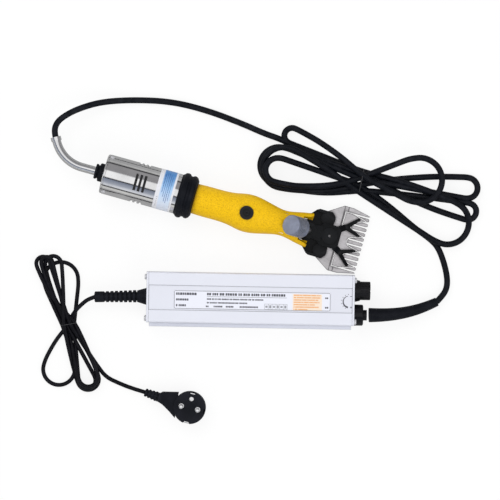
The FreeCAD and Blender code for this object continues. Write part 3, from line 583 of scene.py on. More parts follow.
@dataclass(frozen=True)
class BandLabel(Finish):
    """The printed film round the motor: strong blue on one side that fades to almost white on the other.

    Attributes:
        tones: Place across the motor, 0 to 1, and colour of each stop of the fade.
        margin: The unprinted margin's colour.
        start_mm: Where the print fades in along the motor.
        end_mm: Where it fades out.
    """

    tones: tuple[tuple[float, Colour], ...] = (
        (0.0, (0.78, 0.80, 0.90)),
        (0.3, (0.66, 0.77, 0.93)),
        (0.62, (0.33, 0.56, 0.86)),
        (0.9, (0.085, 0.27, 0.62)),
    )
    margin: Colour = (0.80, 0.81, 0.86)
    start_mm: Spot = (66.5, 67.8)
    end_mm: Spot = (80.2, 80.8)

    def paint(self, g: Graph) -> None:
        """Fills the material's graph.

        Args:
            g: The graph.
        """
        local = g.local(HANDPIECE, AXIS_MM)
        side = g.math("ADD", g.axis(local, "Y"), g.math("MULTIPLY", g.noise(160.0), 0.006))
        ink = g.ramp(g.span(side, -0.0235, 0.026, 0.0, 1.0), self.tones)
        along = g.axis(local, "X")
        fade_in = g.span(along, self.start_mm[0] * MM, self.start_mm[1] * MM, 0, 1)
        fade_out = g.span(along, self.end_mm[0] * MM, self.end_mm[1] * MM, 1, 0)
        g.look(
            g.mix(g.math("MULTIPLY", fade_in, fade_out), self.margin, ink),
            g.span(g.noise(300.0), 0.3, 0.7, 0.22, 0.36),
        )
        g.constant(Specular_IOR_Level=0.45)
        g.relief(g.noise(500.0), 0.02, 0.3)


@dataclass(frozen=True)
class Ink(Finish):
    """Printing ink or wire lacquer, slightly uneven.

    Attributes:
        colour: Its colour.
        pale: Its colour where it is thin.
    """

    colour: Colour
    pale: Colour

    def paint(self, g: Graph) -> None:
        """Fills the material's graph.

        Args:
            g: The graph.
        """
        patch = g.noise(1200.0, 3.0, 0.6)
        g.look(
            g.mix(g.span(patch, 0.4, 0.7, 0.0, 0.8), self.colour, self.pale),
            g.span(patch, 0.3, 0.7, 0.4, 0.6),
        )
        g.relief(patch, 0.005, 0.3)


@dataclass(frozen=True)
class Lacquer(Finish):
    """Plain lacquered or sintered stock for inner pieces.

    Attributes:
        colour: Main colour.
        other: Colour of its mottling.
        rough: Roughness.
    """

    colour: Colour
    other: Colour
    rough: float

    def paint(self, g: Graph) -> None:
        """Fills the material's graph.

        Args:
            g: The graph.
        """
        cloud = g.noise(220.0, 4.0, 0.6)
        g.look(
            g.mix(g.span(cloud, 0.35, 0.7, 0.0, 1.0), self.colour, self.other),
            g.span(cloud, 0.3, 0.7, self.rough - 0.08, self.rough + 0.08),
        )
        g.relief(cloud, 0.03, 0.3, 0.2)


FINISHES: dict[Slot, Finish] = {
    Slot.POLISHED: MirrorSteel(),
    Slot.SCREW: SatinMetal((0.72, 0.72, 0.75), 0.3, (60.0, 60.0, 60.0), metal=0.35),
    Slot.GROUND: BladeSteel(),
    Slot.DARK_STEEL: SatinMetal((0.035, 0.035, 0.04), 0.45),
    Slot.NUT: KnurledSilver(),
    Slot.CASTING: BlackMoulding(
        (0.0015, 0.002, 0.003), (0.012, 0.013, 0.015), 0.24, 0.12, 0.02, 260.0, depth_mm=0.35, bevel_mm=0.6
    ),
    Slot.YELLOW: SandyPaint((1.0, 0.62, 0.008), (0.60, 0.30, 0.004)),
    Slot.RUBBER: BlackMoulding((0.004, 0.005, 0.008), (0.014, 0.015, 0.021), 0.5, 0.14),
    Slot.PLASTIC: BlackMoulding((0.004, 0.004, 0.005), (0.015, 0.015, 0.018), 0.3, 0.2, 0.04),
    Slot.CABLE: CableSheath((0.004, 0.005, 0.008), (0.012, 0.013, 0.018), 0.45),
    Slot.MAINS: CableSheath((0.003, 0.003, 0.005), (0.009, 0.009, 0.013), 0.42),
    Slot.MOTOR_LABEL: BandLabel(),
    Slot.SUPPLY_LABEL: SatinMetal((0.73, 0.745, 0.82), 0.4, (20.0, 20.0, 20.0), SUPPLY, 0.1, 0.0),
    # The supply case gets painted shade along its sharp edges and in its hollows.
    Slot.PALE_ALUMINIUM: SatinMetal((0.71, 0.725, 0.80), 0.42, (3.0, 220.0, 220.0), SUPPLY, 0.5, 0.25, 0.9),
    Slot.ALUMINIUM: SatinMetal((0.66, 0.66, 0.68), 0.4),
    Slot.COPPER: SatinMetal((0.16, 0.07, 0.04), 0.4),
    Slot.CARBON: Lacquer((0.03, 0.03, 0.03), (0.07, 0.07, 0.07), 0.7),
    Slot.BOARD: Lacquer((0.02, 0.16, 0.05), (0.04, 0.26, 0.09), 0.35),
}

NODE_SLOTS: dict[Slot, tuple[str, ...]] = {
    Slot.POLISHED: ("motor_shell", "motor_rear_cap", "cable_tube", "tube_ferrule", "plug_pins",
                    "plug_earth_clips", "plug_earth_socket"),
    Slot.SCREW: ("case_screws", "end_screws", "comb_screws"),
    Slot.GROUND: ("comb", "cutter", "pivot_post", "tension_pin", "rotor_shaft", "crank_spindle",
                  "crank_roller", "motor_bearings", "spindle_bearings"),
    Slot.DARK_STEEL: ("tension_sleeve", "flux_ring", "rotor_core", "bearing_sleeve", "stator_magnets"),
    Slot.NUT: ("tension_nut",),
    Slot.CASTING: ("head_casting", "fork_body", "left_foot", "right_foot"),
    Slot.YELLOW: ("handle_shell",),
    Slot.RUBBER: ("rear_gland", "collar_ring", "output_boot", "mains_relief", "plug_body", "plug_relief"),
    Slot.PLASTIC: ("oil_plug", "speed_knob", "output_gland", "brush_plate", "front_plate", "drive_coupling",
                   "transformer", "capacitors", "speed_control"),
    Slot.CABLE: ("main_cord_lead", "main_cord_hank", "main_cord_tail"),
    Slot.MAINS: ("mains_cord_lead", "mains_cord_hank", "mains_cord_tail"),
    Slot.MOTOR_LABEL: ("motor_label",),
    Slot.SUPPLY_LABEL: ("supply_label",),
    Slot.PALE_ALUMINIUM: ("supply_case", "left_end_plate", "right_end_plate"),
    Slot.ALUMINIUM: ("heat_sink",),
    Slot.COPPER: ("commutator",),
    Slot.CARBON: ("brushes",),
    Slot.BOARD: ("circuit_board",),
}


class Wardrobe:
    """Makes each finish once and puts it on pieces."""

    def __init__(self) -> None:
        """Starts with no finish made."""
        self.made: dict[Slot, bpy.types.Material] = {}

    def get(self, slot: Slot) -> bpy.types.Material:
        """The material of a slot, made when first asked for.

        Args:
            slot: The slot.

        Returns:
            Its material.
        """
        if slot not in self.made:
            self.made[slot] = FINISHES[slot].make(slot.value)
        return self.made[slot]

    def dress(self, piece: bpy.types.Object, slot: Slot) -> None:
        """Puts a slot's finish on a piece.

        Args:
            piece: The object.
            slot: Its slot.
        """
        if not piece.data.materials:
            piece.data.materials.append(self.get(slot))
            return
        for place in piece.material_slots:
            place.material = self.get(slot)


# ---- making objects -----------------------------------------------------------------------
def add_object(name: str, data: bpy.types.ID) -> bpy.types.Object:
    """Links data into the scene as a new object.

    Args:
        name: Its name.
        data: Its mesh, curve, lamp or camera.

    Returns:
        The new object.
    """
    piece = bpy.data.objects.new(name, data)
    bpy.context.scene.collection.objects.link(piece)
    return piece


def mesh_object(name: str, made: Mesh, smooth: bool = True) -> bpy.types.Object:
    """Links a finished bmesh as an object.

    Args:
        name: The object's name.
        made: The bmesh, freed here.
        smooth: Whether its faces shade smoothly.

    Returns:
        The new object.
    """
    data = bpy.data.meshes.new(name)
    bmesh.ops.recalc_face_normals(made, faces=made.faces)
    made.to_mesh(data)
    made.free()
    for face in data.polygons:
        face.use_smooth = smooth
    return add_object(name, data)


def add_piece(name: str, made: Mesh, finish: Finish, smooth: bool = True) -> None:
    """Makes a piece with a finish of its own, on the body that lies still.

    Args:
        name: Its name, which its material gets too.
        made: Its bmesh.
        finish: Its finish.
        smooth: Whether its faces shade smoothly.
    """
    piece = mesh_object(name, made, smooth)
    piece.data.materials.append(finish.make(name))
    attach(piece, STILL_BODY)
    LOG.info("%s: %d faces", name, len(piece.data.polygons))


def add_plate(made: Mesh, corners: list[Vector], thickness: float, up: Vector) -> None:
    """Adds a thin closed plate over a ring of corners.

    Args:
        made: Where it goes.
        corners: Ring of corners on the surface.
        thickness: How far it stands off the surface.
        up: The surface's outward direction.
    """
    low = [made.verts.new(c) for c in corners]
    high = [made.verts.new(c + up * thickness) for c in corners]
    made.faces.new(low[::-1])
    made.faces.new(high)
    for side in zip(low, low[1:] + low[:1], high[1:] + high[:1], high):
        made.faces.new(side)


def add_wire(made: Mesh, points: list[Vector], radius: float, closed: bool) -> None:
    """Adds a round wire along a line of points.

    Args:
        made: Where it goes.
        points: The line, in metres.
        radius: The wire's radius, in metres.
        closed: Whether its ends meet.
    """
    around = [2 * math.pi * k / WIRE_SIDES for k in range(WIRE_SIDES)]
    last = len(points) - 1
    rings, side = [], None
    for i, point in enumerate(points):
        before = points[i - 1] if i or closed else point
        after = points[(i + 1) % len(points)] if i < last or closed else point
        ahead = (after - before).normalized()
        side = (side - ahead * side.dot(ahead) if side else ahead.orthogonal()).normalized()
        up = ahead.cross(side)
        spokes = ((side * math.cos(a) + up * math.sin(a)) * radius for a in around)
        rings.append([made.verts.new(point + spoke) for spoke in spokes])
    for one, other in zip(rings, rings[1:] + (rings[:1] if closed else [])):
        for k in range(WIRE_SIDES):
            after = (k + 1) % WIRE_SIDES
            made.faces.new((one[k], one[after], other[after], other[k]))
    if not closed:
        made.faces.new(rings[0][::-1])
        made.faces.new(rings[-1])


# ---- cords --------------------------------------------------------------------------------
@dataclass(frozen=True)
class Lobe:
    """One loop of a figure-eight hank, out from the waist and back.

    Attributes:
        bearing: Direction from the waist, in degrees.
        reach: Distance to its tip.
        radius: Radius of its round end.
        turn: 1 if the cord runs round the end counter-clockwise, -1 if clockwise.
        levels: Height on the way out, round the tip, and on the way back.
        bulges: How far the sides bow outwards, on the way out and on the way back.
        leave: Sideways place and height where the cord next crosses the waist.
    """

    bearing: float
    reach: float
    radius: float
    turn: int
    levels: Point
    bulges: Spot
    leave: Spot

    def round_end(self) -> list[Point]:
        """Points round the tip, from the waist.

        Returns:
            The points with their heights, from the way out to the way back.
        """
        ahead = math.radians(self.bearing)
        far = self.reach - self.radius
        sweep = math.pi / 2 + math.asin(min(0.95, self.radius / far))
        wide = self.radius / math.cos(sweep / (2 * TIP_STEPS)) ** 0.5
        start, tip, end = self.levels
        points = []
        for step in range(-TIP_STEPS, TIP_STEPS + 1):
            share = step / TIP_STEPS
            angle = ahead + self.turn * sweep * share
            x = far * math.cos(ahead) + wide * math.cos(angle)
            y = far * math.sin(ahead) + wide * math.sin(angle)
            points.append((x, y, tip + (start - tip) * max(0.0, -share) + (end - tip) * max(0.0, share)))
        return points


def side_shares(gap: float) -> list[float]:
    """Where a side's points lie, closer together towards the round end so that the cord runs in smoothly.

    Args:
        gap: Space between the round end's own points, as a share of the side.

    Returns:
        Share of the side at each point.
    """
    middle = 1 - 2.8 * gap
    if middle > 0.8:
        return [0.34, 0.66, middle, 1 - gap]
    return [0.34, max(middle, 0.52), 1 - gap]


def side_points(a: Point, b: Point, shares: list[float], bulge: float) -> list[Point]:
    """Points along one side of a lobe.

    Args:
        a: Where the side starts.
        b: Where it ends.
        shares: How far along each point is.
        bulge: How far the side bows to the left of its direction.

    Returns:
        The points.
    """
    start, run = Vector(a), Vector(b) - Vector(a)
    left = Vector((-run.y, run.x, 0)).normalized()
    return [tuple(start + run * share + left * bulge * math.sin(math.pi * share)) for share in shares]


@dataclass(frozen=True)
class Hank:
    """A cord's slack wound in a figure eight and tied at its waist.

    Attributes:
        waist: The waist's middle.
        crossings: Sideways direction of the strands that enter lobes of turn 1, and of turn -1.
        enter: Sideways place and height where the cord first crosses the waist.
        lobes: The lobes in the order that the cord takes them.
    """

    waist: Spot
    crossings: tuple[Spot, Spot]
    enter: Spot
    lobes: tuple[Lobe, ...]

    def crossing(self, turn: int, place: Spot) -> Point:
        """Where a strand crosses the waist, from its middle, before it enters a lobe of that turn."""
        side = self.crossings[0 if turn == 1 else 1]
        return side[0] * place[0], side[1] * place[0], place[1]

    def points(self) -> list[Point]:
        """Lays out the slack.

        Returns:
            Every control point, in millimetres.
        """
        here = self.crossing(self.lobes[0].turn, self.enter)
        route = [here]
        for lobe in self.lobes:
            after = self.crossing(-lobe.turn, lobe.leave)
            tip = lobe.round_end()
            gap = math.dist(tip[0][:2], tip[1][:2])
            out = side_shares(gap / math.dist(here[:2], tip[0][:2]))
            back = [1 - share for share in reversed(side_shares(gap / math.dist(after[:2], tip[-1][:2])))]
            route += side_points(here, tip[0], out, -lobe.turn * lobe.bulges[0])
            route += tip
            route += side_points(tip[-1], after, back, -lobe.turn * lobe.bulges[1])
            route.append(after)
            here = after
        return [(x + self.waist[0], y + self.waist[1], z) for x, y, z in route]


@dataclass(frozen=True)
class Cord:
    """A free cord that runs as one smooth line from its exit, through its hank, to its far end.

    Attributes:
        name: The piece's name.
        diameter: Its diameter in millimetres.
        length: Its real length in metres.
        exit: Where it leaves the object, in millimetres.
        lead: Route points before the hank.
        hank: The hank.
        tail: Route points after the hank.
        slot: Its finish, and the slot of the three nodes that it stands for.
        far_end: What it ends in.
        fittings: Nodes that go with it.
    """

    name: str
    diameter: float
    length: float
    exit: Point
    lead: tuple[Point, ...]
    hank: Hank
    tail: tuple[Point, ...]
    slot: Slot
    far_end: str
    fittings: tuple[str, ...] = ()

    def build(self, wardrobe: Wardrobe) -> None:
        """Args:
            wardrobe: Where its finish comes from.
        """
        route = [self.exit, *self.lead, *self.hank.points(), *self.tail]
        data = bpy.data.curves.new(self.name, "CURVE")
        data.dimensions = "3D"
        data.resolution_u = 8
        data.bevel_depth = self.diameter / 2 * MM
        data.bevel_resolution = 6
        data.use_fill_caps = True
        spline = data.splines.new("NURBS")
        spline.points.add(len(route) - 1)
        for point, place in zip(spline.points, route):
            point.co = (*(v * MM for v in place), 1.0)
        spline.order_u = 3
        spline.use_endpoint_u = True
        piece = add_object(self.name, data)
        wardrobe.dress(piece, self.slot)
        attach(piece, STILL_BODY)
        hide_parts(*NODE_SLOTS[self.slot])
        LOG.info("%s: %d route points", self.name, len(route))


def main_cable() -> Cord:
    """The cable from the handpiece to the power supply.

    Returns:
        The cord, not yet built.
    """
    right, left = 1, -1
    low, middle, high = 3.6, 10.6, 17.4
    hank = Hank(
        waist=(171.7, 59.3),
        crossings=((0.5, 0.866), (0.1, 0.995)),
        enter=(8.5, middle),
        lobes=(
            Lobe(-16.0, 136, 9.5, right, (low, low, middle), (5, 1), (-10.5, low)),
            Lobe(169.5, 117, 21.5, left, (low, low, middle), (6, 0), (2.0, middle)),
            Lobe(-3.8, 133, 12.0, right, (middle, low, low), (0, 4), (-4.0, low)),
            Lobe(170.5, 114, 23.5, left, (middle, middle, high), (5, 2), (-12.0, middle)),
            Lobe(-26.0, 134, 25.0, right, (middle, low, high), (0, 3), (10.5, low)),
            Lobe(146.8, 103, 8.8, left, (low, low, middle), (0, 4), (5.0, high)),
            Lobe(0.6, 92, 26.0, right, (high, high, high), (0, 0), (4.0, middle)),
            Lobe(172.8, 110, 14.0, left, (high, high, high), (8.5, 0), (-5.0, low)),
        ),
    )
    return Cord(
        name="main_cable",
        diameter=7.0,
        length=2.63,
        exit=(-174.863, 108.600, 26.2),
        lead=(
            (-176.6, 115.8, 26.2), (-173.7, 124.8, 25.0), (-166.5, 131.7, 23.2), (-151.0, 140.5, 19.0),
            (-124.1, 149.1, 12.0), (-87.1, 151.7, 5.6), (-44.1, 149.8, 3.7), (-3.1, 139.5, 3.7),
            (36.9, 124.3, 3.7), (60.9, 113.5, 3.7), (81.4, 106.5, 3.7), (104.0, 94.0, 5.0),
            (130.0, 82.0, 8.0),
        ),
        hank=hank,
        tail=(
            (201.0, 33.0, 3.6), (232.0, 6.0, 3.6), (248.0, -5.0, 3.6), (258.9, -15.1, 3.7),
            (265.8, -32.9, 3.6), (269.6, -49.5, 3.8), (269.5, -61.5, 4.6), (265.1, -70.5, 5.9),
            (257.5, -78.2, 7.2),
        ),
        slot=Slot.CABLE,
        far_end="object",
    )


def mains_cord() -> Cord:
    """The cord from the power supply to the plug.

    Returns:
        The cord, not yet built.
    """
    down, up = 1, -1
    low, middle, high = 2.5, 7.2, 11.6
    hank = Hank(
        waist=(-161.2, -103.7),
        crossings=((0.94, -0.34), (0.906, 0.42)),
        enter=(0.0, low),
        lobes=(
            Lobe(-102.4, 71, 18.5, down, (low, low, low), (2, 0), (-7.0, middle)),
            Lobe(100.0, 72, 20.0, up, (low, low, low), (0, 0), (6.0, low)),
            Lobe(-71.8, 77, 9.5, down, (middle, middle, middle), (0, 0), (-2.4, middle)),
            Lobe(104.5, 80, 9.5, up, (low, middle, middle), (3, 1), (-6.0, high)),
            Lobe(-70.8, 79, 12.5, down, (low, low, low), (1, 2), (2.4, middle)),
            Lobe(109.5, 81, 6.5, up, (middle, middle, high), (4, 0), (-2.0, low)),
            Lobe(-69.5, 75, 11.0, down, (high, high, high), (0, 1), (7.0, middle)),
            Lobe(113.0, 83, 7.6, up, (middle, low, middle), (5, 0), (2.0, high)),
        ),
    )
    return Cord(
        name="mains_cord",
        diameter=4.7,
        length=1.53,
        exit=(-130.987, -72.477, 13.881),
        lead=((-138.2, -75.0, 13.6), (-143.6, -78.7, 12.6), (-152.0, -86.5, 9.0), (-157.5, -94.0, 5.0)),
        hank=hank,
        tail=(
            (-154.0, -112.0, 9.0), (-141.0, -133.0, 3.0), (-129.5, -150.0, 2.6), (-119.5, -163.7, 2.5),
            (-104.1, -171.1, 2.6), (-87.9, -177.3, 4.4), (-74.381, -180.986, 8.894),
        ),
        slot=Slot.MAINS,
        far_end="plug",
        fittings=("plug_body", "plug_pins", "plug_earth_clips", "plug_earth_socket", "plug_relief"),
    )


# ---- printing and ties --------------------------------------------------------------------
class Print:
    """One ink's printing, collected as thin raised plates and then made into a piece."""

    def __init__(self, name: str, colour: Colour, pale: Colour) -> None:
        """Starts a blank print.

        Args:
            name: The piece's name.
            colour: The ink's colour.
            pale: Its colour where it is thin.
        """
        self.name = name
        self.ink = Ink(colour, pale)
        self.made = bmesh.new()

    def flat(self, corners: list[Spot], level: float) -> None:
        """Adds a flat patch inside a ring of corners on top of the power supply, in its own millimetres."""
        ring = [SUPPLY.point(x, y, level) for x, y in corners]
        add_plate(self.made, ring, FLAT_INK_MM * MM, Vector((0, 0, 1)))

    def bar(self, left: float, right: float, middle: float, height: float, level: float) -> None:
        """Adds a flat bar between two places along the supply."""
        low, high = middle - height / 2, middle + height / 2
        self.flat([(left, low), (right, low), (right, high), (left, high)], level)

    def words(self, left: float, right: float, middle: float, height: float, level: float) -> None:
        """Fills a line with short bars of uneven lengths, as stand-ins for words.

        Args:
            left: Where the line starts along the supply.
            right: Where it ends.
            middle: Its middle across the supply.
            height: How tall its bars are.
            level: Height of the surface.
        """
        here = left
        low, high = middle - height / 2, middle + height / 2
        while here < right - height:
            length = min(right - here, height * random.uniform(0.55, 0.95))
            slope = height * random.uniform(-0.06, 0.06)
            self.flat([(here, low), (here + length, low), (here + length + slope, high), (here, high)], level)
            here += length + height * (0.62 if random.random() < 0.16 else 0.2)

    def arc(self, centre: Spot, radius: float, widths: Spot, angles: Spot, level: float) -> None:
        """Adds an arc that widens along its way.

        Args:
            centre: Its centre.
            radius: Its radius.
            widths: Its width where it starts and where it ends.
            angles: Where it starts and ends, in degrees.
            level: Height of the surface.
        """
        steps = 14
        pairs = []
        for step in range(steps + 1):
            share = step / steps
            angle = math.radians(angles[0] + (angles[1] - angles[0]) * share)
            half = (widths[0] + (widths[1] - widths[0]) * share) / 2
            ahead = Vector((math.cos(angle), math.sin(angle)))
            pairs.append([Vector(centre) + ahead * r for r in (radius - half, radius + half)])
        for (a, b), (c, d) in zip(pairs, pairs[1:]):
            self.flat([a, b, d, c], level)

    def round_bar(self, along: float, height: float, start: float, end: float) -> None:
        """Adds a bar that runs round the motor.

        Args:
            along: Its middle along the motor.
            height: Its width.
            start: Angle from straight up where it starts, towards the motor's left, in degrees.
            end: Angle where it ends.
        """
        steps = max(1, round(abs(end - start) / 4))
        left, right = along - height / 2, along + height / 2
        for step in range(steps):
            a, b = (math.radians(start + (end - start) * (step + k) / steps) for k in (0, 1))
            ring = []
            for angle, x in ((a, left), (a, right), (b, right), (b, left)):
                y, z = FILM_RADIUS_MM * math.sin(angle), FILM_RADIUS_MM * math.cos(angle)
                ring.append(HANDPIECE.point(x, y, AXIS_MM + z))
            up = HANDPIECE.outward(math.sin((a + b) / 2), math.cos((a + b) / 2))
            add_plate(self.made, ring, ROUND_INK_MM * MM, up)

    def finish(self) -> None:
        """Makes the piece and puts its ink on."""
        add_piece(self.name, self.made, self.ink, smooth=False)


@dataclass(frozen=True)
class SupplyPrint:
    """The printed panel on the power supply, and the scale beside its knob.

    Attributes:
        centre: Middle of the label plate, in the supply's own millimetres.
        level: Height of the label plate.
        bare: Height of the case beside the plate.
        knob: Middle of the scale.
        lines: Left, right, middle and height of each line of stand-in words, from the plate's middle.
        notes: Length of each line in the coloured box.
    """

    centre: Spot = (2.1, -0.6)
    level: float = 37.64
    bare: float = 37.54
    knob: Spot = (111.0, 0.3)
    lines: tuple[tuple[float, float, float, float], ...] = (
        (-86.0, -61.5, 6.6, 2.7), (-86.0, -70.4, 0.1, 2.3), (-86.0, -73.2, -6.4, 2.3),
        (-51.2, 38.7, 6.7, 2.7), (-51.2, 13.1, 1.1, 1.6), (-51.2, -4.8, -3.0, 1.6),
        (-52.3, -47.6, -7.2, 1.8), (-43.5, -32.4, -7.2, 1.8), (-29.7, -20.4, -7.2, 1.8),
        (-14.1, 7.7, -7.2, 1.8),
    )
    notes: tuple[float, ...] = (30.5, 31.0, 28.0, 30.0, 24.5, 29.5, 17.0)

    def build(self) -> None:
        """Makes every ink of the panel."""
        u, v = self.centre
        dark = Print("supply_print_dark", (0.045, 0.045, 0.06), (0.16, 0.16, 0.19))
        for left, right, middle, height in self.lines:
            dark.words(u + left, u + right, v + middle, height, self.level)
        dark.bar(u - 51.2, u + 38.7, v + 3.9, 0.35, self.level)
        for place in (4.4, -6.3):
            dark.words(u + 82.2, u + 86.4, v + place, 1.8, self.level)
        self.frame(dark)
        self.scale(dark)
        dark.finish()
        self.cells()
        pale = Print("supply_print_pale", (0.95, 0.78, 0.62), (0.98, 0.86, 0.74))
        pale.bar(u + 45.6, u + 78.6, v - 0.7, 18.4, self.level - 0.03)
        pale.finish()
        orange = Print("supply_print_orange", (0.82, 0.33, 0.08), (0.90, 0.48, 0.20))
        for row, length in enumerate(self.notes):
            orange.words(u + 46.8, u + 46.8 + length, v + 7.2 - 2.65 * row, 1.35, self.level)
        orange.finish()

    def frame(self, ink: Print) -> None:
        """Adds the thin line round the panel, with its round corners.

        Args:
            ink: Where it goes.
        """
        u, v = self.centre
        for side in (-1, 1):
            ink.bar(u - 86.4, u + 86.4, v + side * 9.9, 0.4, self.level)
            ink.bar(u + side * 87.9 - 0.2, u + side * 87.9 + 0.2, v, 16.8, self.level)
        for start, side, up in ((0, 1, 1), (90, -1, 1), (180, -1, -1), (270, 1, -1)):
            ink.arc((u + side * 86.4, v + up * 8.4), 1.5, (0.4, 0.4), (start, start + 90), self.level)

    def cells(self) -> None:
        """Makes the row of small grey boxes under the headings."""
        u, v = self.centre
        grey = Print("supply_print_grey", (0.30, 0.31, 0.34), (0.42, 0.43, 0.47))
        for edge in (-3.4, -9.3):
            grey.bar(u + 13.9, u + 39.6, v + edge, 0.35, self.level)
        for column in range(7):
            place = u + 14.0 + column * 4.25
            grey.bar(place - 0.17, place + 0.17, v - 6.35, 5.9, self.level)
            if column < 6:
                grey.bar(place + 0.9, place + 3.3, v - 6.35, 3.2 if column % 2 else 2.2, self.level)
        grey.finish()

    def scale(self, ink: Print) -> None:
        """Adds the speed scale beside the knob: a swelling arc, ticks, and a mark at each end.

        Args:
            ink: Where it goes.
        """
        x, y = self.knob
        ink.arc(self.knob, 6.4, (0.4, 1.9), (100, 262), self.bare)
        for tick in range(7):
            ink.arc(self.knob, 8.2, (0.8, 0.8), (92 + tick * 25, 96 + tick * 25), self.bare)
        for place in (6.0, -6.4):
            ink.bar(x + 1.6, x + 3.6, y + place, 0.5, self.bare)
        ink.bar(x + 2.4, x + 2.9, y - 6.4, 2.2, self.bare)


@dataclass(frozen=True)
class MotorPrint:
    """The rows of printing that run round the motor's film.

    Attributes:
        rows: Place along the motor, width, and the angles where it starts and ends, of each dark row.
    """

    rows: tuple[tuple[float, float, float, float], ...] = (
        (69.2, 0.9, 52, -8), (71.3, 0.7, 60, -20), (73.4, 0.7, 58, -34), (75.5, 0.8, 52, -38),
        (77.6, 0.6, 44, -30),
    )

    def build(self) -> None:
        """Makes the dark rows on the coloured side and the grey ones on the pale side."""
        navy = Print("motor_print_navy", (0.03, 0.10, 0.33), (0.06, 0.16, 0.45))
        for along, height, here, end in self.rows:
            while here > end:
                length = height * random.uniform(2.4, 4.2)
                navy.round_bar(along, height, here, max(end, here - length))
                here -= length + height * 1.3
        navy.finish()
        grey = Print("motor_print_grey", (0.22, 0.23, 0.30), (0.36, 0.38, 0.46))
        for row in range(7):
            grey.round_bar(65.2, 1.0, -24 - 6 * row, -25.4 - 6 * row)
            grey.round_bar(80.9, 0.8, -20 - 5 * row, -21.2 - 5 * row)
        grey.finish()


@dataclass(frozen=True)
class VentShadeStrips:
    """Dark strips that close the motor's vents a little below its surface: painted shade that stands for the
    dark inside of the vents.

    Attributes:
        first: Middle of the first slot of each set, along the motor.
        pitch: From one slot to the next.
        width: Width of a strip.
        length: Length of a strip.
        radius: Distance of the strips from the motor's axis.
        thickness: Thickness of a strip.
    """

    first: float = 38.0
    pitch: float = 5.0
    width: float = 2.5
    length: float = 18.8
    radius: float = 21.2
    thickness: float = 0.2

    def build(self) -> None:
        """Makes the twelve strips as one piece."""
        made = bmesh.new()
        for turn in (math.pi / 2 * quarter for quarter in range(4)):
            up, side = Vector((math.sin(turn), math.cos(turn))), Vector((math.cos(turn), -math.sin(turn)))
            for middle in (self.first + self.pitch * row for row in range(3)):
                ring = []
                for along, across in ((-1, -1), (1, -1), (1, 1), (-1, 1)):
                    y, z = up * self.radius + side * across * self.length / 2
                    ring.append(HANDPIECE.point(middle + along * self.width / 2, y, AXIS_MM + z))
                add_plate(made, ring, self.thickness * MM, HANDPIECE.outward(*up))
        # Painted shade: a near-black sheet under each vent.
        look = Lacquer((0.006, 0.006, 0.007), (0.014, 0.014, 0.016), 0.6)
        add_piece("vent_shade_strips", made, look, smooth=False)


@dataclass(frozen=True)
class Tie:
    """A thin wire tied round a hank's waist.

    Attributes:
        name: The piece's name.
        centre: Middle of the bundle.
        bearing: Direction of the bundle, in degrees.
        half_width: Half of the bundle's width.
        half_height: Half of its height.
        wire: Radius of the wire.
        tail: Where its twisted ends run from the middle, or empty.
    """

    name: str
    centre: Point
    bearing: float
    half_width: float
    half_height: float
    wire: float
    tail: tuple[Point, ...] = ()

    def build(self) -> None:
        """Makes the ring, and its twisted ends if they show."""
        made = bmesh.new()
        turn = math.radians(self.bearing + 90)
        across = Vector((math.cos(turn), math.sin(turn), 0)) * self.half_width
        rise = Vector((0, 0, self.half_height))
        angles = [2 * math.pi * step / RING_STEPS for step in range(RING_STEPS)]
        ring = [(Vector(self.centre) + across * math.cos(a) + rise * math.sin(a)) * MM for a in angles]
        add_wire(made, ring, self.wire * MM, closed=True)
        add_piece(self.name, made, Ink((0.02, 0.02, 0.022), (0.06, 0.06, 0.065)))
        if self.tail:
            made = bmesh.new()
            for phase in (0.0, math.pi):
                add_wire(made, self.twisted(phase), self.wire * MM, closed=False)
            add_piece(self.name + "_ends", made, Ink((0.34, 0.34, 0.36), (0.52, 0.52, 0.55)))

    def twisted(self, phase: float) -> list[Vector]:
        """One of the two ends, wound round the other.

        Args:
            phase: Where it starts round the pair.

        Returns:
            Its points, in metres.
        """
        steps, twists = 60, 5
        points = []
        for step in range(steps + 1):
            share = step / steps * (len(self.tail) - 1)
            leg = min(len(self.tail) - 2, int(share))
            a, b = Vector(self.tail[leg]), Vector(self.tail[leg + 1])
            side = Vector((-(b - a).y, (b - a).x, 0)).normalized()
            angle = phase + step / steps * twists * 2 * math.pi
            around = side * math.cos(angle) + Vector((0, 0, 1)) * math.sin(angle)
            points.append((Vector(self.centre) + a.lerp(b, share - leg) + around * self.wire * 1.05) * MM)
        return points


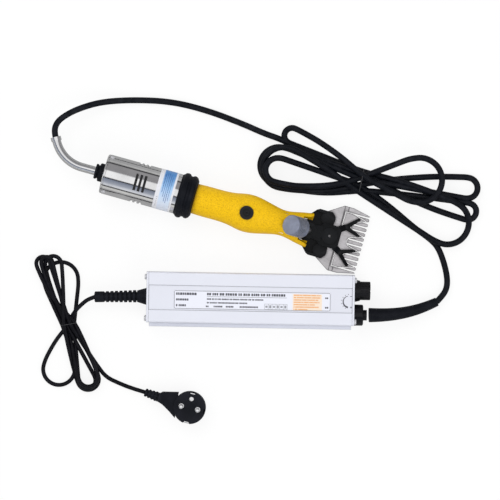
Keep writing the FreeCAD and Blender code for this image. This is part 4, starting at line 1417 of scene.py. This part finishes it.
# ---- studio -------------------------------------------------------------------------------
@dataclass(frozen=True)
class Studio:
    """Pale floor, soft light and a camera straight above.

    Attributes:
        centre: Middle of the view, in metres.
        width: Width of the view at the floor, in metres.
        distance: Height of the camera, in metres.
        sky: Strength of the even light.
        lamp_size: Side of each lamp, in metres.
    """

    centre: Spot = (0.0451, -0.0193)
    width: float = 0.570
    distance: float = 3.6
    sky: float = 0.62
    lamp_size: float = 0.9

    def build(self) -> None:
        """Makes the floor, the lights, the surroundings and the camera."""
        self.floor()
        self.surroundings()
        self.lamp("key", (-0.45, 0.6, 1.2), 5.6)
        self.lamp("fill", (0.5, -0.7, 1.1), 5.2)
        self.camera()
        bpy.context.scene.view_settings.view_transform = "Standard"

    def floor(self) -> None:
        """A large plain floor that keeps the object's shadow and glows a little itself."""
        made = bmesh.new()
        bmesh.ops.create_grid(made, x_segments=8, y_segments=8, size=4.0)
        floor = mesh_object("floor", made)
        floor.location.z = -0.0002
        g = Graph("floor_white")
        tone = g.ramp(g.noise(3.0), [(0.0, (0.93, 0.93, 0.93)), (1.0, (0.95, 0.95, 0.95))])
        g.links.new(tone, g.shader.inputs["Base Color"])
        g.constant(Roughness=0.9, Specular_IOR_Level=0.0)
        camera = g.node("LightPath", {}, "Is Camera Ray")
        mirrored = camera.node.outputs["Is Glossy Ray"]
        glow = g.node("Emission", {"Strength": g.math("ADD", g.math("MULTIPLY", camera, 0.68), 0.34)})
        seen = g.math("MULTIPLY", g.math("MAXIMUM", camera, mirrored), 0.84)
        blend = g.node("MixShader", {0: seen, 1: g.shader.outputs[0], 2: glow})
        out = next(n for n in g.nodes if n.type == "OUTPUT_MATERIAL")
        g.links.new(blend, out.inputs["Surface"])
        floor.data.materials.append(g.material)

    def surroundings(self) -> None:
        """White to the camera, even to the object, and bright and dark strips in what metal mirrors."""
        world = bpy.data.worlds.new("studio")
        bpy.context.scene.world = world
        tree = Tree(world)
        tree.nodes.clear()
        turn = math.radians(HANDPIECE.turn_deg)
        across = (-math.sin(turn), math.cos(turn), 0.0)
        look = tree.node("TexCoord", {}, "Generated")
        sideways = tree.node("VectorMath", {0: look, 1: across}, "Value", operation="DOT_PRODUCT")
        angle = tree.math("ARCTAN2", sideways, tree.axis(look, "Z"))
        strips = tree.ramp(tree.span(angle, -math.pi, math.pi, 0.0, 1.0), self.strips())
        camera = tree.node("LightPath", {}, "Is Camera Ray")
        paths = camera.node.outputs
        lit = tree.mix(paths["Is Glossy Ray"], (self.sky, self.sky, self.sky), strips)
        clear = tree.math("MAXIMUM", camera, paths["Is Transmission Ray"])
        back = tree.node("Background", {"Color": tree.mix(clear, lit, (1.0, 1.0, 1.0))})
        tree.node("OutputWorld", {"Surface": back})

    @staticmethod
    def strips() -> list[tuple[float, Colour]]:
        """The strips that metal mirrors, listed by their angle from straight up across the handpiece.

        Returns:
            Share of the full turn and colour of each stop.
        """
        white, light = (1.0, 1.0, 1.0), (0.62, 0.62, 0.62)
        grey, dark, blue = (0.30, 0.295, 0.305), (0.03, 0.03, 0.035), (0.22, 0.25, 0.32)
        stops = [
            (-100, light), (-76, (0.72, 0.72, 0.69)), (-73, dark), (-68, dark), (-64, (0.86, 0.88, 0.92)),
            (-46, (0.40, 0.43, 0.50)), (-25, blue), (-22, dark), (-18, dark), (-15, white), (20, white),
            (25, grey), (66, (0.33, 0.325, 0.33)), (70, dark), (75, dark), (80, (0.50, 0.50, 0.49)),
            (96, light),
        ]
        return [(degrees / 360 + 0.5, colour) for degrees, colour in stops]

    def lamp(self, name: str, place: Point, power: float) -> None:
        """Adds a soft square lamp that faces the middle of the view and isn't mirrored.

        Args:
            name: Its name.
            place: Where it hangs from the view's middle.
            power: Its power in watts.
        """
        data = bpy.data.lights.new(name, "AREA")
        data.shape = "SQUARE"
        data.size = self.lamp_size
        data.energy = power
        lamp = add_object(name, data)
        lamp.location = (place[0] + self.centre[0], place[1] + self.centre[1], place[2])
        lamp.rotation_euler = (-Vector(place)).to_track_quat("-Z", "Y").to_euler()
        lamp.visible_glossy = False

    def camera(self) -> None:
        """Adds the camera, high above and looking straight down."""
        data = bpy.data.cameras.new("camera")
        data.sensor_width = 36.0
        data.lens = data.sensor_width * self.distance / self.width
        camera = add_object("camera", data)
        camera.location = (*self.centre, self.distance)
        bpy.context.scene.camera = camera


# ---- the machine --------------------------------------------------------------------------
@dataclass(frozen=True)
class CadPieces:
    """The machine's rigid pieces, which keep their shapes and get their finishes.

    Attributes:
        nodes: Every node's object by its name.
    """

    nodes: dict[str, bpy.types.Object]

    def dress(self, wardrobe: Wardrobe) -> None:
        """Puts each node's finish on it.

        Args:
            wardrobe: Where the finishes come from.
        """
        for slot, names in NODE_SLOTS.items():
            for name in names:
                wardrobe.dress(self.nodes[name], slot)
            LOG.info("%s: %s", slot.value, ", ".join(names))
        # The cutter gets a painted dark line and a painted white highlight along its edges.
        painted_edge_highlight = BladeSteel(rim_mm=3.2, painted_edge_highlight=True).make("ground_steel_honed")
        for place in self.nodes["cutter"].material_slots:
            place.material = painted_edge_highlight


def main() -> None:
    """Builds the looks of the whole machine in order."""
    logging.basicConfig(level=logging.INFO)
    random.seed(4)
    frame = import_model()
    wardrobe = Wardrobe()
    CadPieces(frame["nodes"]).dress(wardrobe)
    main_cable().build(wardrobe)
    mains_cord().build(wardrobe)
    SupplyPrint().build()
    MotorPrint().build()
    VentShadeStrips().build()
    ends = ((-3.6, -13.6, -7.0), (-14.0, -14.6, -9.0), (-25.0, -12.9, -9.4))
    Tie("cable_tie", (171.7, 59.3, 10.7), -12.0, 13.4, 10.3, 0.55, ends).build()
    Tie("mains_tie", (-161.2, -103.7, 7.2), 100.0, 9.2, 6.9, 0.45).build()
    Studio().build()


if __name__ == "__main__":
    main()
